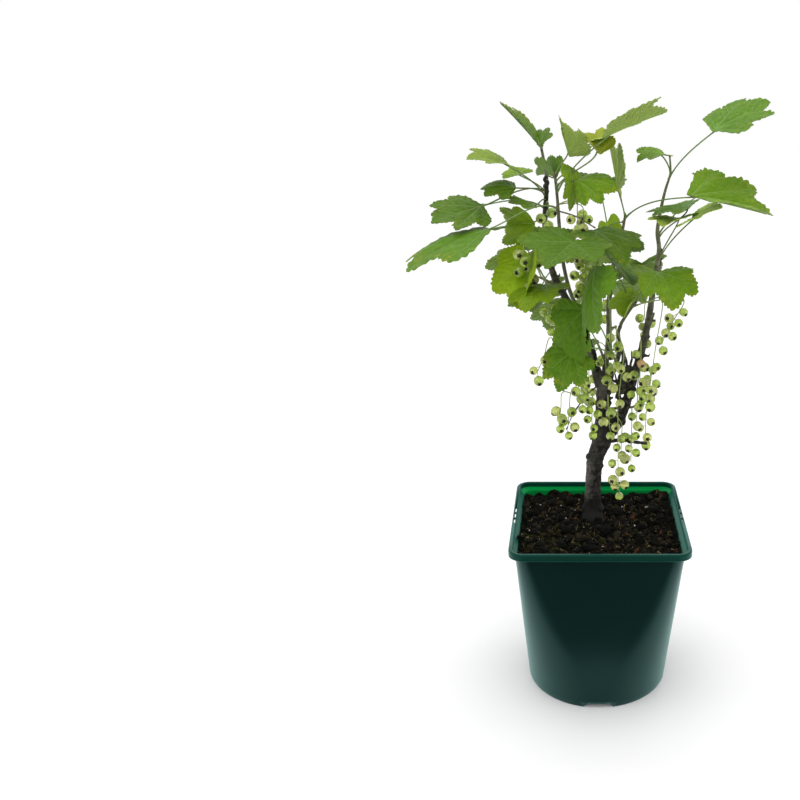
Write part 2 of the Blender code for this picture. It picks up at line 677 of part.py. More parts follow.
def build_right(paths, green):
    stem = stem_on(paths["bough_right_inner"], 26, ((0, 30, 330), (1, 40, 320)), 1.3, 3)
    mass = Mass("foliage_right", stem, 28)
    mass.leaf(1.0, (53, -6, 419), (-75, -6, -2), 49, 10, 66, 0.78)
    mass.leaf(0.8, (10, 9, 428), (-65, -22, -36), 42, 14, 3, 0.94)
    mass.leaf(0.6, (34, 12, 394), (-121, -24, 26), 33, 27, 9, 0.96)
    mass.strig(0.9, (77, -2, 393), 40, 6, (-19, 0), 0.1)
    mass.strig(0.8, (57, -4, 393), 88, 5, (-10, 0), 0.6)
    return mass.finish(green)


def build_back(paths, green):
    """Leaves and a little fruit on the far side, on spurs that set off to the back."""
    stem = spur_on(paths["bough_left"], 0.62, 55, 110, 24, 1.5)
    mass = Mass("foliage_back_left", stem, 31)
    mass.leaf(0.5, (-72, 62, 424), (130, -34, 8), 46, 8, 24)
    mass.leaf(0.8, (-58, 80, 388), (110, -38, -8), 44, 8, 24)
    mass.leaf(1.0, (-46, 94, 438), (100, -36, 6), 44, 8, 24)
    mass.strig(0.8, (-50, 62, 384), 30, 4, (2, 3), 0.1)
    mass.finish(green)
    stem = spur_on(paths["bough_centre"], 0.80, 50, 80, 26, 1.5)
    mass = Mass("foliage_back_middle", stem, 32)
    mass.leaf(0.4, (-6, 66, 430), (96, -34, 4), 46, 8, 24)
    mass.leaf(0.7, (14, 94, 434), (72, -30, -6), 46, 8, 24)
    mass.leaf(0.9, (19, 104, 388), (60, -38, 8), 44, 8, 24)
    mass.leaf(1.0, (-1, 76, 494), (100, -16, 8), 44, 8, 22)
    mass.strig(0.8, (4, 70, 400), 34, 4, (2, 3), 0.1)
    mass.finish(green)
    stem = spur_on(paths["bough_right"], 0.90, 55, 70, 20, 1.4)
    mass = Mass("foliage_back_right", stem, 33)
    mass.leaf(0.7, (62, 76, 402), (60, -32, 4), 46, 8, 24)
    mass.leaf(1.0, (44, 92, 410), (100, -36, -6), 42, 8, 24)
    mass.strig(0.8, (46, 60, 374), 30, 4, (2, 2), 0.1)
    mass.finish(green)
    stem = spur_on(paths["bough_centre"], 0.22, 58, 110, 22, 1.4)
    mass = Mass("foliage_back_low", stem, 34)
    mass.leaf(0.6, (-30, 83, 370), (125, -36, 4), 46, 8, 24)
    mass.leaf(1.0, (-24, 64, 329), (105, -42, -4), 42, 8, 24)
    mass.strig(0.7, (-8, 58, 318), 36, 5, (-2, 2), 0.1)
    mass.strig(1.0, (8, 62, 330), 30, 4, (4, 3), 0.1)
    mass.finish(green)


def build_fruit(paths, pale_green):
    """Clusters of hanging fruit on short spurs of the old wood round the fork."""
    stem = spur_on(paths["bough_right"], 0.44, 70, 290, 9, 1.3)
    mass = Mass("fruit_right", stem, 41)
    mass.strig(0.6, (39, 8, 352), 43, 5, (0, 0), 0.1)
    mass.strig(1.0, (46, -20, 332), 28, 4, (0, 0), 0.2)
    mass.strig(0.8, (36, -4, 312), 34, 4, (0, 0), 0.0)
    mass.finish(pale_green)
    stem = spur_on(paths["bough_right"], 0.20, 70, 300, 8, 1.3)
    mass = Mass("fruit_fork_right", stem, 42)
    mass.strig(0.7, (46, 12, 286), 34, 4, (0, 0), 0.0)
    mass.strig(0.9, (31, -8, 277), 42, 5, (0, 0), 0.1)
    mass.finish(pale_green)
    stem = spur_on(paths["trunk"], 0.86, 72, 285, 9, 1.3)
    mass = Mass("fruit_fork", stem, 43)
    mass.strig(1.0, (17, -12, 288), 80, 6, (2, 0), 0.5)
    mass.strig(0.8, (8, -6, 302), 33, 5, (2, 0), 0.0)
    mass.strig(0.9, (22, 2, 270), 24, 3, (0, 0), 0.1)
    mass.finish(pale_green)
    stem = spur_on(paths["bough_centre"], 0.50, 68, 300, 8, 1.2)
    mass = Mass("fruit_centre", stem, 44)
    mass.strig(0.8, (15, -4, 366), 27, 4, (0, 0), 0.0)
    mass.strig(1.0, (6, 8, 350), 29, 3, (0, 0), 0.1)
    mass.strig(0.9, (22, -12, 346), 42, 3, (-4, 0), 0.0)
    mass.finish(pale_green)
    stem = spur_on(paths["trunk"], 0.88, 72, 215, 9, 1.3)
    mass = Mass("fruit_left", stem, 45)
    mass.strig(0.5, (-7, -8, 304), 34, 5, (0, 0), 0.0)
    mass.strig(0.8, (-17, -16, 322), 23, 4, (0, 0), 0.0)
    mass.strig(1.0, (-27, -4, 304), 34, 4, (-3, -4), 0.2)
    mass.strig(1.0, (-35, -12, 307), 29, 3, (-3, 0), 0.4)
    mass.strig(1.0, (-45, -20, 362), 33, 3, (-13, 0), 0.3)
    mass.finish(pale_green)


def build_all():
    clear_scene()
    build_pot()
    build_soil()
    paths = build_woody_frame()
    green = plain_material("leaf_green", LEAF_GREEN, 0.5)
    build_fore_top(paths, green)
    build_left_top(paths, green)
    build_centre_top(paths, green)
    build_right_top(paths, green)
    build_left_low(paths, green)
    build_middle(paths, green)
    build_front(paths, green)
    build_right(paths, green)
    build_back(paths, green)
    build_fruit(paths, plain_material("fruit_pale_green", FRUIT_GREEN, 0.3))


build_all()
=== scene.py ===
import math
import random

import bmesh
import bpy
import numpy as np
from mathutils import Matrix, Vector, noise
from mathutils.bvhtree import BVHTree


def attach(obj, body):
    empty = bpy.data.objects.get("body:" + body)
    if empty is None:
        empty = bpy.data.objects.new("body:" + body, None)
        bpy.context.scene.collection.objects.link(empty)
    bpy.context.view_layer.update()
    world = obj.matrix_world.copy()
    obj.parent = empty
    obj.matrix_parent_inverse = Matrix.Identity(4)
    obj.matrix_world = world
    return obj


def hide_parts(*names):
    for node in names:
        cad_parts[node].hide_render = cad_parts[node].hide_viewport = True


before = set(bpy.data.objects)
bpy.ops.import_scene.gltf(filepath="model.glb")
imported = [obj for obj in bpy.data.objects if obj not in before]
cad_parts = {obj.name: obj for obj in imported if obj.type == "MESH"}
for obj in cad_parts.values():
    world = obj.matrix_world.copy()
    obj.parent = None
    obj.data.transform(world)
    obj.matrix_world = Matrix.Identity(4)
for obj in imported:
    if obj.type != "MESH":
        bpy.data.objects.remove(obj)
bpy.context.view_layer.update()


# The pot is one thin-walled moulding of dark green polypropylene. Its square rim has a rounded lip
# with label slots, and its walls run down to a round foot: a flat disc, a sunk drainage channel
# with holes, and a standing ring with four notches. Its rim and the inner walls over the compost are
# painted in lighter greens as painted light: light falling on the rim and shining through the plastic.
POT_HEIGHT = 0.175
RIM_HALF = 0.085
RIM_BAND = 0.007
RIM_LIP = 0.004
RIM_CORNER = 0.014
RIM_ROUND = 0.0015
RIM_SHADE = 0.0048
BODY_HALF = 0.0792
BODY_CORNER = 0.012
BASE_RADIUS = 0.0705
FOOT_INNER = 0.066
CHANNEL_OUTER = 0.064
CHANNEL_DEPTH = 0.005
DISC_RADIUS = 0.036
WALL = 0.0015
NOTCH_HEIGHT = 0.0048
NOTCH_FOOT_WIDTH = 0.031
NOTCH_TOP_WIDTH = 0.022
DRAIN_HOLES = 8
DRAIN_RADIUS = 0.004
DRAIN_CIRCLE = 0.051
SLOT_LENGTH = 0.010
SLOT_WIDTH = 0.0018
SLOT_PITCH = 0.0125
SLOTS_PER_SIDE = 3
RIM_GAP_WIDTH = 0.0022
RIM_GAP_LENGTH = 0.056
CORNER_STEPS = 20
SOIL_TOP = 0.1615


def ring_point(index, half, corner, height):
    """A point of a square ring with rounded corners. An index keeps to its corner at every height."""
    corner = min(corner, 0.997 * half)
    quarter, step = divmod(index, CORNER_STEPS)
    middle = math.radians(45 + 90 * quarter)
    angle = middle + math.radians(90) * (step / (CORNER_STEPS - 1) - 0.5)
    return Vector((math.copysign(half - corner, math.cos(middle)) + corner * math.cos(angle),
                   math.copysign(half - corner, math.sin(middle)) + corner * math.sin(angle), height))


def first_ring(shape, half, corner, height):
    ring = bmesh.ops.create_circle(shape, segments=4 * CORNER_STEPS, radius=half)["verts"]
    for index, vert in enumerate(ring):
        vert.co = ring_point(index, half, corner, height)
    return ring


def next_ring(shape, ring, half, corner, height):
    """Extrudes a ring's edges and sets what they drew out on a new ring."""
    edges = [shape.edges.get(pair) for pair in zip(ring, ring[1:] + ring[:1])]
    drawn = bmesh.ops.extrude_edge_only(shape, edges=edges)["geom"]
    fresh = {vert for vert in drawn if isinstance(vert, bmesh.types.BMVert)}
    ring = [next(edge.other_vert(vert) for edge in vert.link_edges if edge.other_vert(vert) in fresh)
            for vert in ring]
    for index, vert in enumerate(ring):
        vert.co = ring_point(index, half, corner, height)
    return ring


def body_size(height, inset):
    """Half width and corner radius of the pot's body at a height, moved in from the outside."""
    share = height / (POT_HEIGHT - RIM_BAND)
    half = BASE_RADIUS + (BODY_HALF - BASE_RADIUS) * share
    corner = BASE_RADIUS + (BODY_CORNER - BASE_RADIUS) * share
    return half - inset, max(corner - inset, 0.004)


def settle(name, shape, *materials, smooth=40):
    """Turns a finished bmesh into an object at the origin, shaded smooth up to an angle."""
    mesh = bpy.data.meshes.new(name)
    shape.to_mesh(mesh)
    shape.free()
    mesh.shade_smooth()
    mesh.set_sharp_from_angle(angle=math.radians(smooth))
    for material in materials:
        mesh.materials.append(material)
    piece = bpy.data.objects.new(name, mesh)
    bpy.context.scene.collection.objects.link(piece)
    return piece


def cut_away(piece, cutters):
    """Cuts some closed shapes out of a piece and removes them."""
    for cutter in cutters:
        step = piece.modifiers.new("cut", "BOOLEAN")
        step.operation = "DIFFERENCE"
        step.solver = "EXACT"
        step.object = cutter
    bpy.context.view_layer.update()
    whole = piece.evaluated_get(bpy.context.evaluated_depsgraph_get())
    mesh = bpy.data.meshes.new_from_object(whole)
    piece.modifiers.clear()
    piece.data = mesh
    for cutter in cutters:
        bpy.data.objects.remove(cutter, do_unlink=True)


# Shader effects that several materials share: a mask of soft patches, and fine grain for a bump.
mottle = bpy.data.node_groups.new("mottle", "ShaderNodeTree")
for label, value in (("Scale", 20.0), ("Low", 0.35), ("High", 0.65)):
    mottle.interface.new_socket(label, in_out="INPUT", socket_type="NodeSocketFloat").default_value = value
mottle.interface.new_socket("Mask", in_out="OUTPUT", socket_type="NodeSocketFloat")
mottle_in = mottle.nodes.new("NodeGroupInput")
mottle_out = mottle.nodes.new("NodeGroupOutput")
mottle_place = mottle.nodes.new("ShaderNodeTexCoord")
mottle_noise = mottle.nodes.new("ShaderNodeTexNoise")
mottle_noise.inputs["Detail"].default_value = 4.0
mottle_range = mottle.nodes.new("ShaderNodeMapRange")
mottle.links.new(mottle_place.outputs["Object"], mottle_noise.inputs["Vector"])
mottle.links.new(mottle_in.outputs["Scale"], mottle_noise.inputs["Scale"])
mottle.links.new(mottle_noise.outputs["Fac"], mottle_range.inputs["Value"])
mottle.links.new(mottle_in.outputs["Low"], mottle_range.inputs["From Min"])
mottle.links.new(mottle_in.outputs["High"], mottle_range.inputs["From Max"])
mottle.links.new(mottle_range.outputs["Result"], mottle_out.inputs["Mask"])


def new_finish(name, **values):
    """A Principled material with some of its sockets set. Returns it with its tree and its shader."""
    material = bpy.data.materials.new(name)
    material.use_nodes = True
    shader = material.node_tree.nodes["Principled BSDF"]
    for label, value in values.items():
        shader.inputs[label.replace("_", " ")].default_value = value
    return material, material.node_tree, shader


def patches(tree, scale, low=0.35, high=0.65):
    """The mask of the mottle group at one scale, in patches per metre."""
    group = tree.nodes.new("ShaderNodeGroup")
    group.node_tree = mottle
    for label, value in (("Scale", scale), ("Low", low), ("High", high)):
        group.inputs[label].default_value = value
    return group.outputs["Mask"]


def two_colours(tree, mask, first, second):
    """Mixes two colours, or a colour and another mix, by a mask."""
    mix = tree.nodes.new("ShaderNodeMix")
    mix.data_type = "RGBA"
    tree.links.new(mask, mix.inputs["Factor"])
    for socket, colour in ((mix.inputs[6], first), (mix.inputs[7], second)):
        if isinstance(colour, bpy.types.NodeSocket):
            tree.links.new(colour, socket)
        else:
            socket.default_value = (*colour, 1)
    return mix.outputs[2]


def bumped(tree, shader, height, depth):
    """Gives a shader a bump of a depth in metres from a mask."""
    bump = tree.nodes.new("ShaderNodeBump")
    bump.inputs["Distance"].default_value = depth
    tree.links.new(height, bump.inputs["Height"])
    tree.links.new(bump.outputs["Normal"], shader.inputs["Normal"])


def spread_over(tree, mask, socket, low, high):
    """Lets a mask carry a shader's value between two ends."""
    reach = tree.nodes.new("ShaderNodeMapRange")
    reach.inputs["To Min"].default_value = low
    reach.inputs["To Max"].default_value = high
    tree.links.new(mask, reach.inputs["Value"])
    tree.links.new(reach.outputs["Result"], socket)


# Only the first green is the plastic's own colour. The rest are painted light: the rim is painted lighter as if lit
# from above, the back inner wall bright as if lit through from behind, and the side inner walls and the rim's inner
# band are painted shade, dimmer than the back wall.
plastic_greens = {"pot_dark_green_plastic": ((0.0003, 0.0018, 0.0013), (0.0004, 0.0025, 0.0019), 0.42),
                  "pot_wall_with_light_behind": ((0.0, 0.20, 0.034), (0.0, 0.26, 0.045), 0.15),
                  "pot_rim_painted_light": ((0.0015, 0.013, 0.008), (0.0022, 0.018, 0.011), 0.18),
                  "pot_wall_in_shade": ((0.001, 0.050, 0.022), (0.0015, 0.062, 0.028), 0.15),
                  "pot_rim_inside_painted_shade": ((0.0008, 0.036, 0.016), (0.001, 0.044, 0.020), 0.12)}
plastics = []
for name, (first, second, sheen) in plastic_greens.items():
    plastic, tree, shader = new_finish(name, Specular_Tint=(sheen, 1.0, 0.55 + sheen, 1.0), Specular_IOR_Level=0.28,
                                       Sheen_Weight=0.30, Sheen_Roughness=0.5, Sheen_Tint=(0.12, 0.75, 0.66, 1.0))
    handled = patches(tree, 26, 0.2, 0.8)
    tree.links.new(two_colours(tree, handled, first, second), shader.inputs["Base Color"])
    spread_over(tree, handled, shader.inputs["Roughness"], 0.275, 0.30)
    plastics.append(plastic)

shape = bmesh.new()
rim_foot = POT_HEIGHT - RIM_BAND
floor_top = CHANNEL_DEPTH + WALL
ring = first_ring(shape, DISC_RADIUS, DISC_RADIUS, 0)
shape.faces.new(ring)
profile = [(DISC_RADIUS + 0.0004, DISC_RADIUS, 0.0004), (DISC_RADIUS + 0.002, DISC_RADIUS, CHANNEL_DEPTH),
           (CHANNEL_OUTER, CHANNEL_OUTER, CHANNEL_DEPTH), (FOOT_INNER, FOOT_INNER, 0.0003),
           (FOOT_INNER + 0.0003, FOOT_INNER, 0), (BASE_RADIUS - 0.0008, BASE_RADIUS, 0),
           (BASE_RADIUS - 0.0002, BASE_RADIUS, 0.0004)]
body_steps = 26
for step in range(body_steps + 1):
    height = 0.0012 + (rim_foot - 0.0012) * step / body_steps
    profile.append((*body_size(height, 0), height))
profile.append((RIM_HALF - 0.0006, RIM_CORNER, rim_foot))
profile.append((RIM_HALF, RIM_CORNER, rim_foot + 0.0006))
round_steps = 5
for step in range(round_steps + 1):
    turn = math.radians(90) * step / round_steps
    inset = RIM_ROUND * (1 - math.cos(turn))
    profile.append((RIM_HALF - inset, RIM_CORNER - inset, POT_HEIGHT - RIM_ROUND * (1 - math.sin(turn))))
for step in range(round_steps + 1):
    turn = math.radians(90) * step / round_steps
    inset = RIM_LIP - RIM_ROUND * (1 - math.sin(turn))
    profile.append((RIM_HALF - inset, RIM_CORNER - inset, POT_HEIGHT - RIM_ROUND * (1 - math.cos(turn))))
inner_from = len(profile)
profile.append((RIM_HALF - RIM_LIP, RIM_CORNER - RIM_LIP, POT_HEIGHT - RIM_SHADE))
rim_from = 7 + body_steps + 1
for step in range(body_steps + 1):
    height = rim_foot - 0.001 - (rim_foot - 0.001 - floor_top - 0.002) * step / body_steps
    profile.append((*body_size(height, WALL), height))
profile += [(*body_size(floor_top, WALL + 0.001), floor_top),
            (DISC_RADIUS + 0.004, DISC_RADIUS + 0.004, floor_top), (DISC_RADIUS + 0.002, DISC_RADIUS + 0.002, WALL)]
# Painted light and shade by place: the rim's outside and top get the painted rim light, the rim's inner band painted
# shade, and the inner walls over the compost painted backlight at the back and painted shade elsewhere.
for index, (half, corner, height) in enumerate(profile):
    before = set(shape.faces)
    ring = next_ring(shape, ring, half, corner, height)
    for face in set(shape.faces) - before:
        if rim_from <= index < inner_from:
            face.material_index = 2
        elif index == inner_from:
            face.material_index = 4
        elif index > inner_from and height > SOIL_TOP - 0.03:
            face.material_index = 1 if face.calc_center_median().y > 0.9 * half else 3
shape.faces.new(ring)
bmesh.ops.recalc_face_normals(shape, faces=shape.faces)
pot = settle("pot_moulding", shape, *plastics, smooth=32)

cutters = []
for side in range(4):
    shape = bmesh.new()
    bmesh.ops.create_cube(shape, size=1)
    for vert in shape.verts:
        top = vert.co.z > 0
        width = NOTCH_TOP_WIDTH if top else NOTCH_FOOT_WIDTH
        vert.co = Vector((math.copysign(width / 2, vert.co.x),
                          -(BASE_RADIUS + 0.006 if vert.co.y > 0 else FOOT_INNER - 0.004),
                          NOTCH_HEIGHT if top else -0.0001))
    bmesh.ops.rotate(shape, verts=shape.verts, matrix=Matrix.Rotation(math.radians(90 * side), 3, "Z"))
    bmesh.ops.recalc_face_normals(shape, faces=shape.faces)
    cutters.append(settle(f"notch_{side}", shape))
for hole in range(DRAIN_HOLES):
    shape = bmesh.new()
    turn = math.tau * (hole + 0.5) / DRAIN_HOLES
    place = Vector((DRAIN_CIRCLE * math.cos(turn), DRAIN_CIRCLE * math.sin(turn), CHANNEL_DEPTH + 0.001))
    bmesh.ops.create_cone(shape, cap_ends=True, segments=28, radius1=DRAIN_RADIUS, radius2=DRAIN_RADIUS,
                          depth=0.006, matrix=Matrix.Translation(place))
    cutters.append(settle(f"drain_{hole}", shape))
for side in (-1, 1):
    for slot in range(SLOTS_PER_SIDE):
        shape = bmesh.new()
        bmesh.ops.create_cube(shape, size=1)
        bmesh.ops.scale(shape, verts=shape.verts, vec=(SLOT_WIDTH, SLOT_LENGTH, 3 * RIM_BAND))
        along = (slot - (SLOTS_PER_SIDE - 1) / 2) * SLOT_PITCH
        middle = side * (RIM_HALF - RIM_LIP / 2 - 0.0002)
        bmesh.ops.translate(shape, verts=shape.verts, vec=(middle, along, POT_HEIGHT))
        cutters.append(settle(f"slot_{side}_{slot}", shape))
    shape = bmesh.new()
    bmesh.ops.create_cube(shape, size=1)
    bmesh.ops.scale(shape, verts=shape.verts, vec=(RIM_GAP_WIDTH, RIM_GAP_LENGTH, RIM_BAND))
    bmesh.ops.translate(shape, verts=shape.verts, vec=(side * (RIM_HALF - 0.0024), 0.007, POT_HEIGHT - RIM_BAND / 2 - 0.0016))
    cutters.append(settle(f"rim_gap_{side}", shape))
cut_away(pot, cutters)
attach(pot, "root")
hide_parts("pot")


# Peat compost with bark chips fills the pot to just under the rim. It is lumpy and dark, with loose
# crumbs, straw-coloured fibres, flecks of brown bark and a few white grains on top.
SOIL_GAP = 0.0005
SOIL_CELLS = 150
TRUNK_FOOT = Vector((-0.0055, 0.022, 0.1618))
TRUNK_BED = 0.017
SOIL_RELIEF = 0.0056
# Clods pushed up against the back wall: middle, half width and height
BACK_MOUNDS = ((-0.045, 0.0085, 0.0065), (0.040, 0.0045, 0.0035), (0.063, 0.006, 0.0035), (-0.020, 0.004, 0.0015))

dark_peat, tree, shader = new_finish("dark_peat", Roughness=0.95, Specular_IOR_Level=0.05)
fine_peat = patches(tree, 420)
peat_brown = two_colours(tree, patches(tree, 60, 0.45, 0.7), (0.0066, 0.0066, 0.0045), (0.021, 0.018, 0.0105))
tree.links.new(two_colours(tree, fine_peat, peat_brown, (0.0024, 0.0025, 0.0018)), shader.inputs["Base Color"])
bumped(tree, shader, fine_peat, 0.0008)

soil_half, soil_corner = body_size(SOIL_TOP, WALL + SOIL_GAP)


def soil_height(x, y):
    """Height of the compost over its mean level: broad mounds, lumps and a smooth bed at the trunk."""
    place = Vector((x, y, 0.3))
    rise = 0.60 * noise.noise(place * 34) + 0.55 * noise.noise(place * 80) + 0.30 * noise.noise(place * 190)
    rise += 0.80 * abs(noise.noise(place * 105)) + 0.42 * abs(noise.noise(place * 230)) - 0.25
    edge = max(abs(x), -y) / soil_half
    bank = 0.75 * max(0.0, (edge - 0.72) / 0.28) ** 2 + 0.3 * max(0.0, y / soil_half) ** 4
    near = (Vector((x, y)) - TRUNK_FOOT.to_2d()).length
    calm = min(1.0, max(0.0, near / TRUNK_BED - 0.75))
    heaped = sum(height * math.exp(-((x - middle) / width) ** 2 - ((y - soil_half) / 0.008) ** 2)
                 for middle, width, height in BACK_MOUNDS)
    return SOIL_RELIEF * (rise + bank) * calm + heaped


def wall_reach(direction):
    """How far the rounded square of the compost reaches from its middle in a direction."""
    x, y = abs(direction.x), abs(direction.y)
    reach = soil_half / max(x, y)
    core = soil_half - soil_corner
    if min(x, y) * reach > core:
        along = core * (x + y)
        reach = along + math.sqrt(max(0.0, along * along - 2 * core * core + soil_corner * soil_corner))
    return reach


shape = bmesh.new()
bmesh.ops.create_grid(shape, x_segments=SOIL_CELLS, y_segments=SOIL_CELLS, size=soil_half)
for vert in shape.verts:
    flat = Vector((vert.co.x, vert.co.y))
    if flat.length > 1e-6:
        direction = flat.normalized()
        square = soil_half / max(abs(direction.x), abs(direction.y))
        flat *= wall_reach(direction) / square
    vert.co = (flat.x, flat.y, SOIL_TOP + soil_height(flat.x, flat.y))
rim_edges = [edge for edge in shape.edges if edge.is_boundary]
levels = (0.15, 0.126, 0.09, 0.05, 0.012, CHANNEL_DEPTH + WALL + 0.0004)
for level in levels:
    drawn = bmesh.ops.extrude_edge_only(shape, edges=rim_edges)["geom"]
    half, corner = body_size(level, WALL + SOIL_GAP + (0.002 if level < 0.01 else 0))
    scale = half / soil_half
    for vert in drawn:
        if isinstance(vert, bmesh.types.BMVert):
            turned = Vector((vert.co.x, vert.co.y))
            round_share = 1 - (level - 0.0) / SOIL_TOP
            reach = turned.length
            rounded = turned.normalized() * (half - 0.0002)
            flat = turned * (half / soil_half)
            flat = flat.lerp(rounded, max(0.0, min(1.0, round_share)))
            if flat.length > reach:
                flat = turned
            vert.co = (flat.x, flat.y, level)
    rim_edges = [edge for edge in drawn if isinstance(edge, bmesh.types.BMEdge) and edge.is_boundary]
bmesh.ops.holes_fill(shape, edges=rim_edges, sides=0)
bmesh.ops.recalc_face_normals(shape, faces=shape.faces)
compost = settle("compost_surface", shape, dark_peat, smooth=180)
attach(compost, "root")
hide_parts("soil")


def gather():
    """An empty heap of points and faces that many small things are joined on."""
    return {"points": [], "faces": [], "finish": [], "count": 0}


def heap_on(heap, points, faces, finish=0):
    """Adds one small thing to a heap. Its faces count from its own first point."""
    heap["points"].append(np.asarray(points, float))
    heap["faces"].extend([tuple(heap["count"] + corner for corner in face) for face in faces])
    heap["finish"].extend([finish] * len(faces))
    heap["count"] += len(points)


def joined(name, heap, *materials, smooth=60):
    """One object of everything on a heap."""
    mesh = bpy.data.meshes.new(name)
    mesh.from_pydata(np.concatenate(heap["points"]).tolist(), [], heap["faces"])
    mesh.polygons.foreach_set("material_index", heap["finish"])
    mesh.shade_smooth()
    mesh.set_sharp_from_angle(angle=math.radians(smooth))
    for material in materials:
        mesh.materials.append(material)
    piece = bpy.data.objects.new(name, mesh)
    bpy.context.scene.collection.objects.link(piece)
    return piece


def small_solid(create, **sizes):
    """Points and faces of a shape that one of the bmesh.ops.create_ operators makes."""
    shape = bmesh.new()
    create(shape, **sizes)
    shape.verts.index_update()
    points = np.array([vert.co for vert in shape.verts])
    faces = [tuple(vert.index for vert in face.verts) for face in shape.faces]
    shape.free()
    return points, faces


def tube_mesh(path, sides, squash=1.0):
    """Points and faces of a closed tube along a path of points and radii."""
    points = []
    side_way = Vector((0.96, 0.28, 0))
    for index, (point, radius) in enumerate(path):
        along = (path[min(index + 1, len(path) - 1)][0] - path[max(index - 1, 0)][0]).normalized()
        side_way = (side_way - along * side_way.dot(along)).normalized()
        across = along.cross(side_way)
        for step in range(sides):
            turn = math.tau * step / sides
            points.append(point + radius * (side_way * math.cos(turn) + across * squash * math.sin(turn)))
    faces = []
    for level in range(len(path) - 1):
        for step in range(sides):
            low, after = level * sides + step, level * sides + (step + 1) % sides
            faces.append((low, after, after + sides, low + sides))
    faces.append(tuple(reversed(range(sides))))
    faces.append(tuple(range((len(path) - 1) * sides, len(path) * sides)))
    return points, faces


crumb_colours = {"crumb_black": (0.0052, 0.0054, 0.0040), "crumb_brown": (0.030, 0.024, 0.0135),
                 "crumb_olive": (0.028, 0.033, 0.006), "crumb_rust": (0.070, 0.030, 0.014),
                 "crumb_white": (0.60, 0.58, 0.54), "fibre_straw": (0.17, 0.135, 0.065)}
crumb_finishes = []
for name, colour in crumb_colours.items():
    finish, tree, shader = new_finish(name, Roughness=0.9, Specular_IOR_Level=0.08)
    darker = tuple(value * 0.5 for value in colour)
    tree.links.new(two_colours(tree, patches(tree, 500), colour, darker), shader.inputs["Base Color"])
    bumped(tree, shader, patches(tree, 900), 0.0004)
    crumb_finishes.append(finish)
CRUMB_SHARES = (0.70, 0.91, 0.955, 0.985, 0.993)
FINE_CRUMB = 0.0017
crumbs = random.Random(5)
crumb_heap = gather()
ball, ball_faces = small_solid(bmesh.ops.create_icosphere, subdivisions=2, radius=1.0)
grain, grain_faces = small_solid(bmesh.ops.create_icosphere, subdivisions=1, radius=1.0)
chip, chip_faces = small_solid(bmesh.ops.create_cube, size=1.6)
for number in range(3400):
    x, y = (crumbs.uniform(-1, 1) * soil_half for _ in range(2))
    flat = Vector((x, y))
    if flat.length > 1e-4 and flat.length > wall_reach(flat.normalized()) - 0.0025:
        continue
    if (flat - TRUNK_FOOT.to_2d()).length < 0.009:
        continue
    pick = crumbs.random()
    finish = sum(pick > share for share in CRUMB_SHARES[:4])
    size = 0.0006 + 0.0036 * crumbs.random() ** 3
    if finish == 4:
        size = 0.0009
    form, form_faces = (ball, ball_faces) if size > FINE_CRUMB else (grain, grain_faces)
    if crumbs.random() < 0.3 and finish != 4:
        form, form_faces = chip, chip_faces
    turn = np.array(Matrix.Rotation(crumbs.uniform(0, math.tau), 3, Vector(
        (crumbs.gauss(0, 1), crumbs.gauss(0, 1), crumbs.gauss(0, 1)))))
    shape_scale = np.array([crumbs.uniform(0.6, 1.3), crumbs.uniform(0.5, 1.0), crumbs.uniform(0.3, 0.8)])
    rough = 1 + 0.25 * np.array([crumbs.uniform(-1, 1) for _ in form])[:, None]
    place = np.array([x, y, SOIL_TOP + soil_height(x, y) + size * 0.25])
    heap_on(crumb_heap, (form * rough * shape_scale * size) @ turn.T + place, form_faces, finish)
for number in range(900):
    x, y = (crumbs.uniform(-0.93, 0.93) * soil_half for _ in range(2))
    length = crumbs.uniform(0.004, 0.016)
    heading = crumbs.uniform(0, math.tau)
    bend = crumbs.uniform(-1.4, 1.4)
    radius = crumbs.uniform(0.00012, 0.00055)
    path = []
    for step in range(5):
        share = step / 4
        turn = heading + bend * share
        x += math.cos(turn) * length / 4
        y += math.sin(turn) * length / 4
        lift = math.sin(share * math.pi) * length * crumbs.uniform(0.0, 0.18)
        path.append((Vector((x, y, SOIL_TOP + soil_height(x, y) + 0.0005 + lift)), radius * (1.1 - 0.5 * share)))
    if max(abs(x), abs(y)) < soil_half - 0.003:
        heap_on(crumb_heap, *tube_mesh(path, 4, 0.6), 5 if crumbs.random() < 0.3 else 1)
clumps = random.Random(17)
for number in range(260):
    x, y = (clumps.uniform(-0.92, 0.92) * soil_half for _ in range(2))
    flat = Vector((x, y))
    if flat.length > wall_reach(flat.normalized()) - 0.004:
        continue
    size = clumps.uniform(0.0005, 0.0011)
    place = np.array([x, y, SOIL_TOP + soil_height(x, y) + 0.0012])
    flake = chip * np.array([clumps.uniform(0.7, 1.6), clumps.uniform(0.7, 1.6), 0.4]) * size
    heap_on(crumb_heap, flake + place, chip_faces, 4 if number % 7 == 0 else 5)
for number in range(210):
    x = clumps.uniform(-1, 1) * soil_half
    y = soil_half * (1 - 0.35 * clumps.random() ** 2) if number < 70 else clumps.uniform(-1, 1) * soil_half
    size = clumps.uniform(0.0022, 0.0046) if number % 6 else clumps.uniform(0.0040, 0.0062)
    flat = Vector((x, y))
    if flat.length > wall_reach(flat.normalized()) - size * 1.4 or (flat - TRUNK_FOOT.to_2d()).length < 0.016:
        continue
    rough = 1 + 0.34 * np.array([clumps.uniform(-1, 1) for _ in ball])[:, None]
    flattened = np.array([clumps.uniform(0.8, 1.3), clumps.uniform(0.8, 1.2), clumps.uniform(0.5, 0.95)])
    place = np.array([x, y, SOIL_TOP + soil_height(x, y) + size * 0.2])
    heap_on(crumb_heap, ball * rough * flattened * size + place, ball_faces, 1 if clumps.random() < 0.18 else 0)
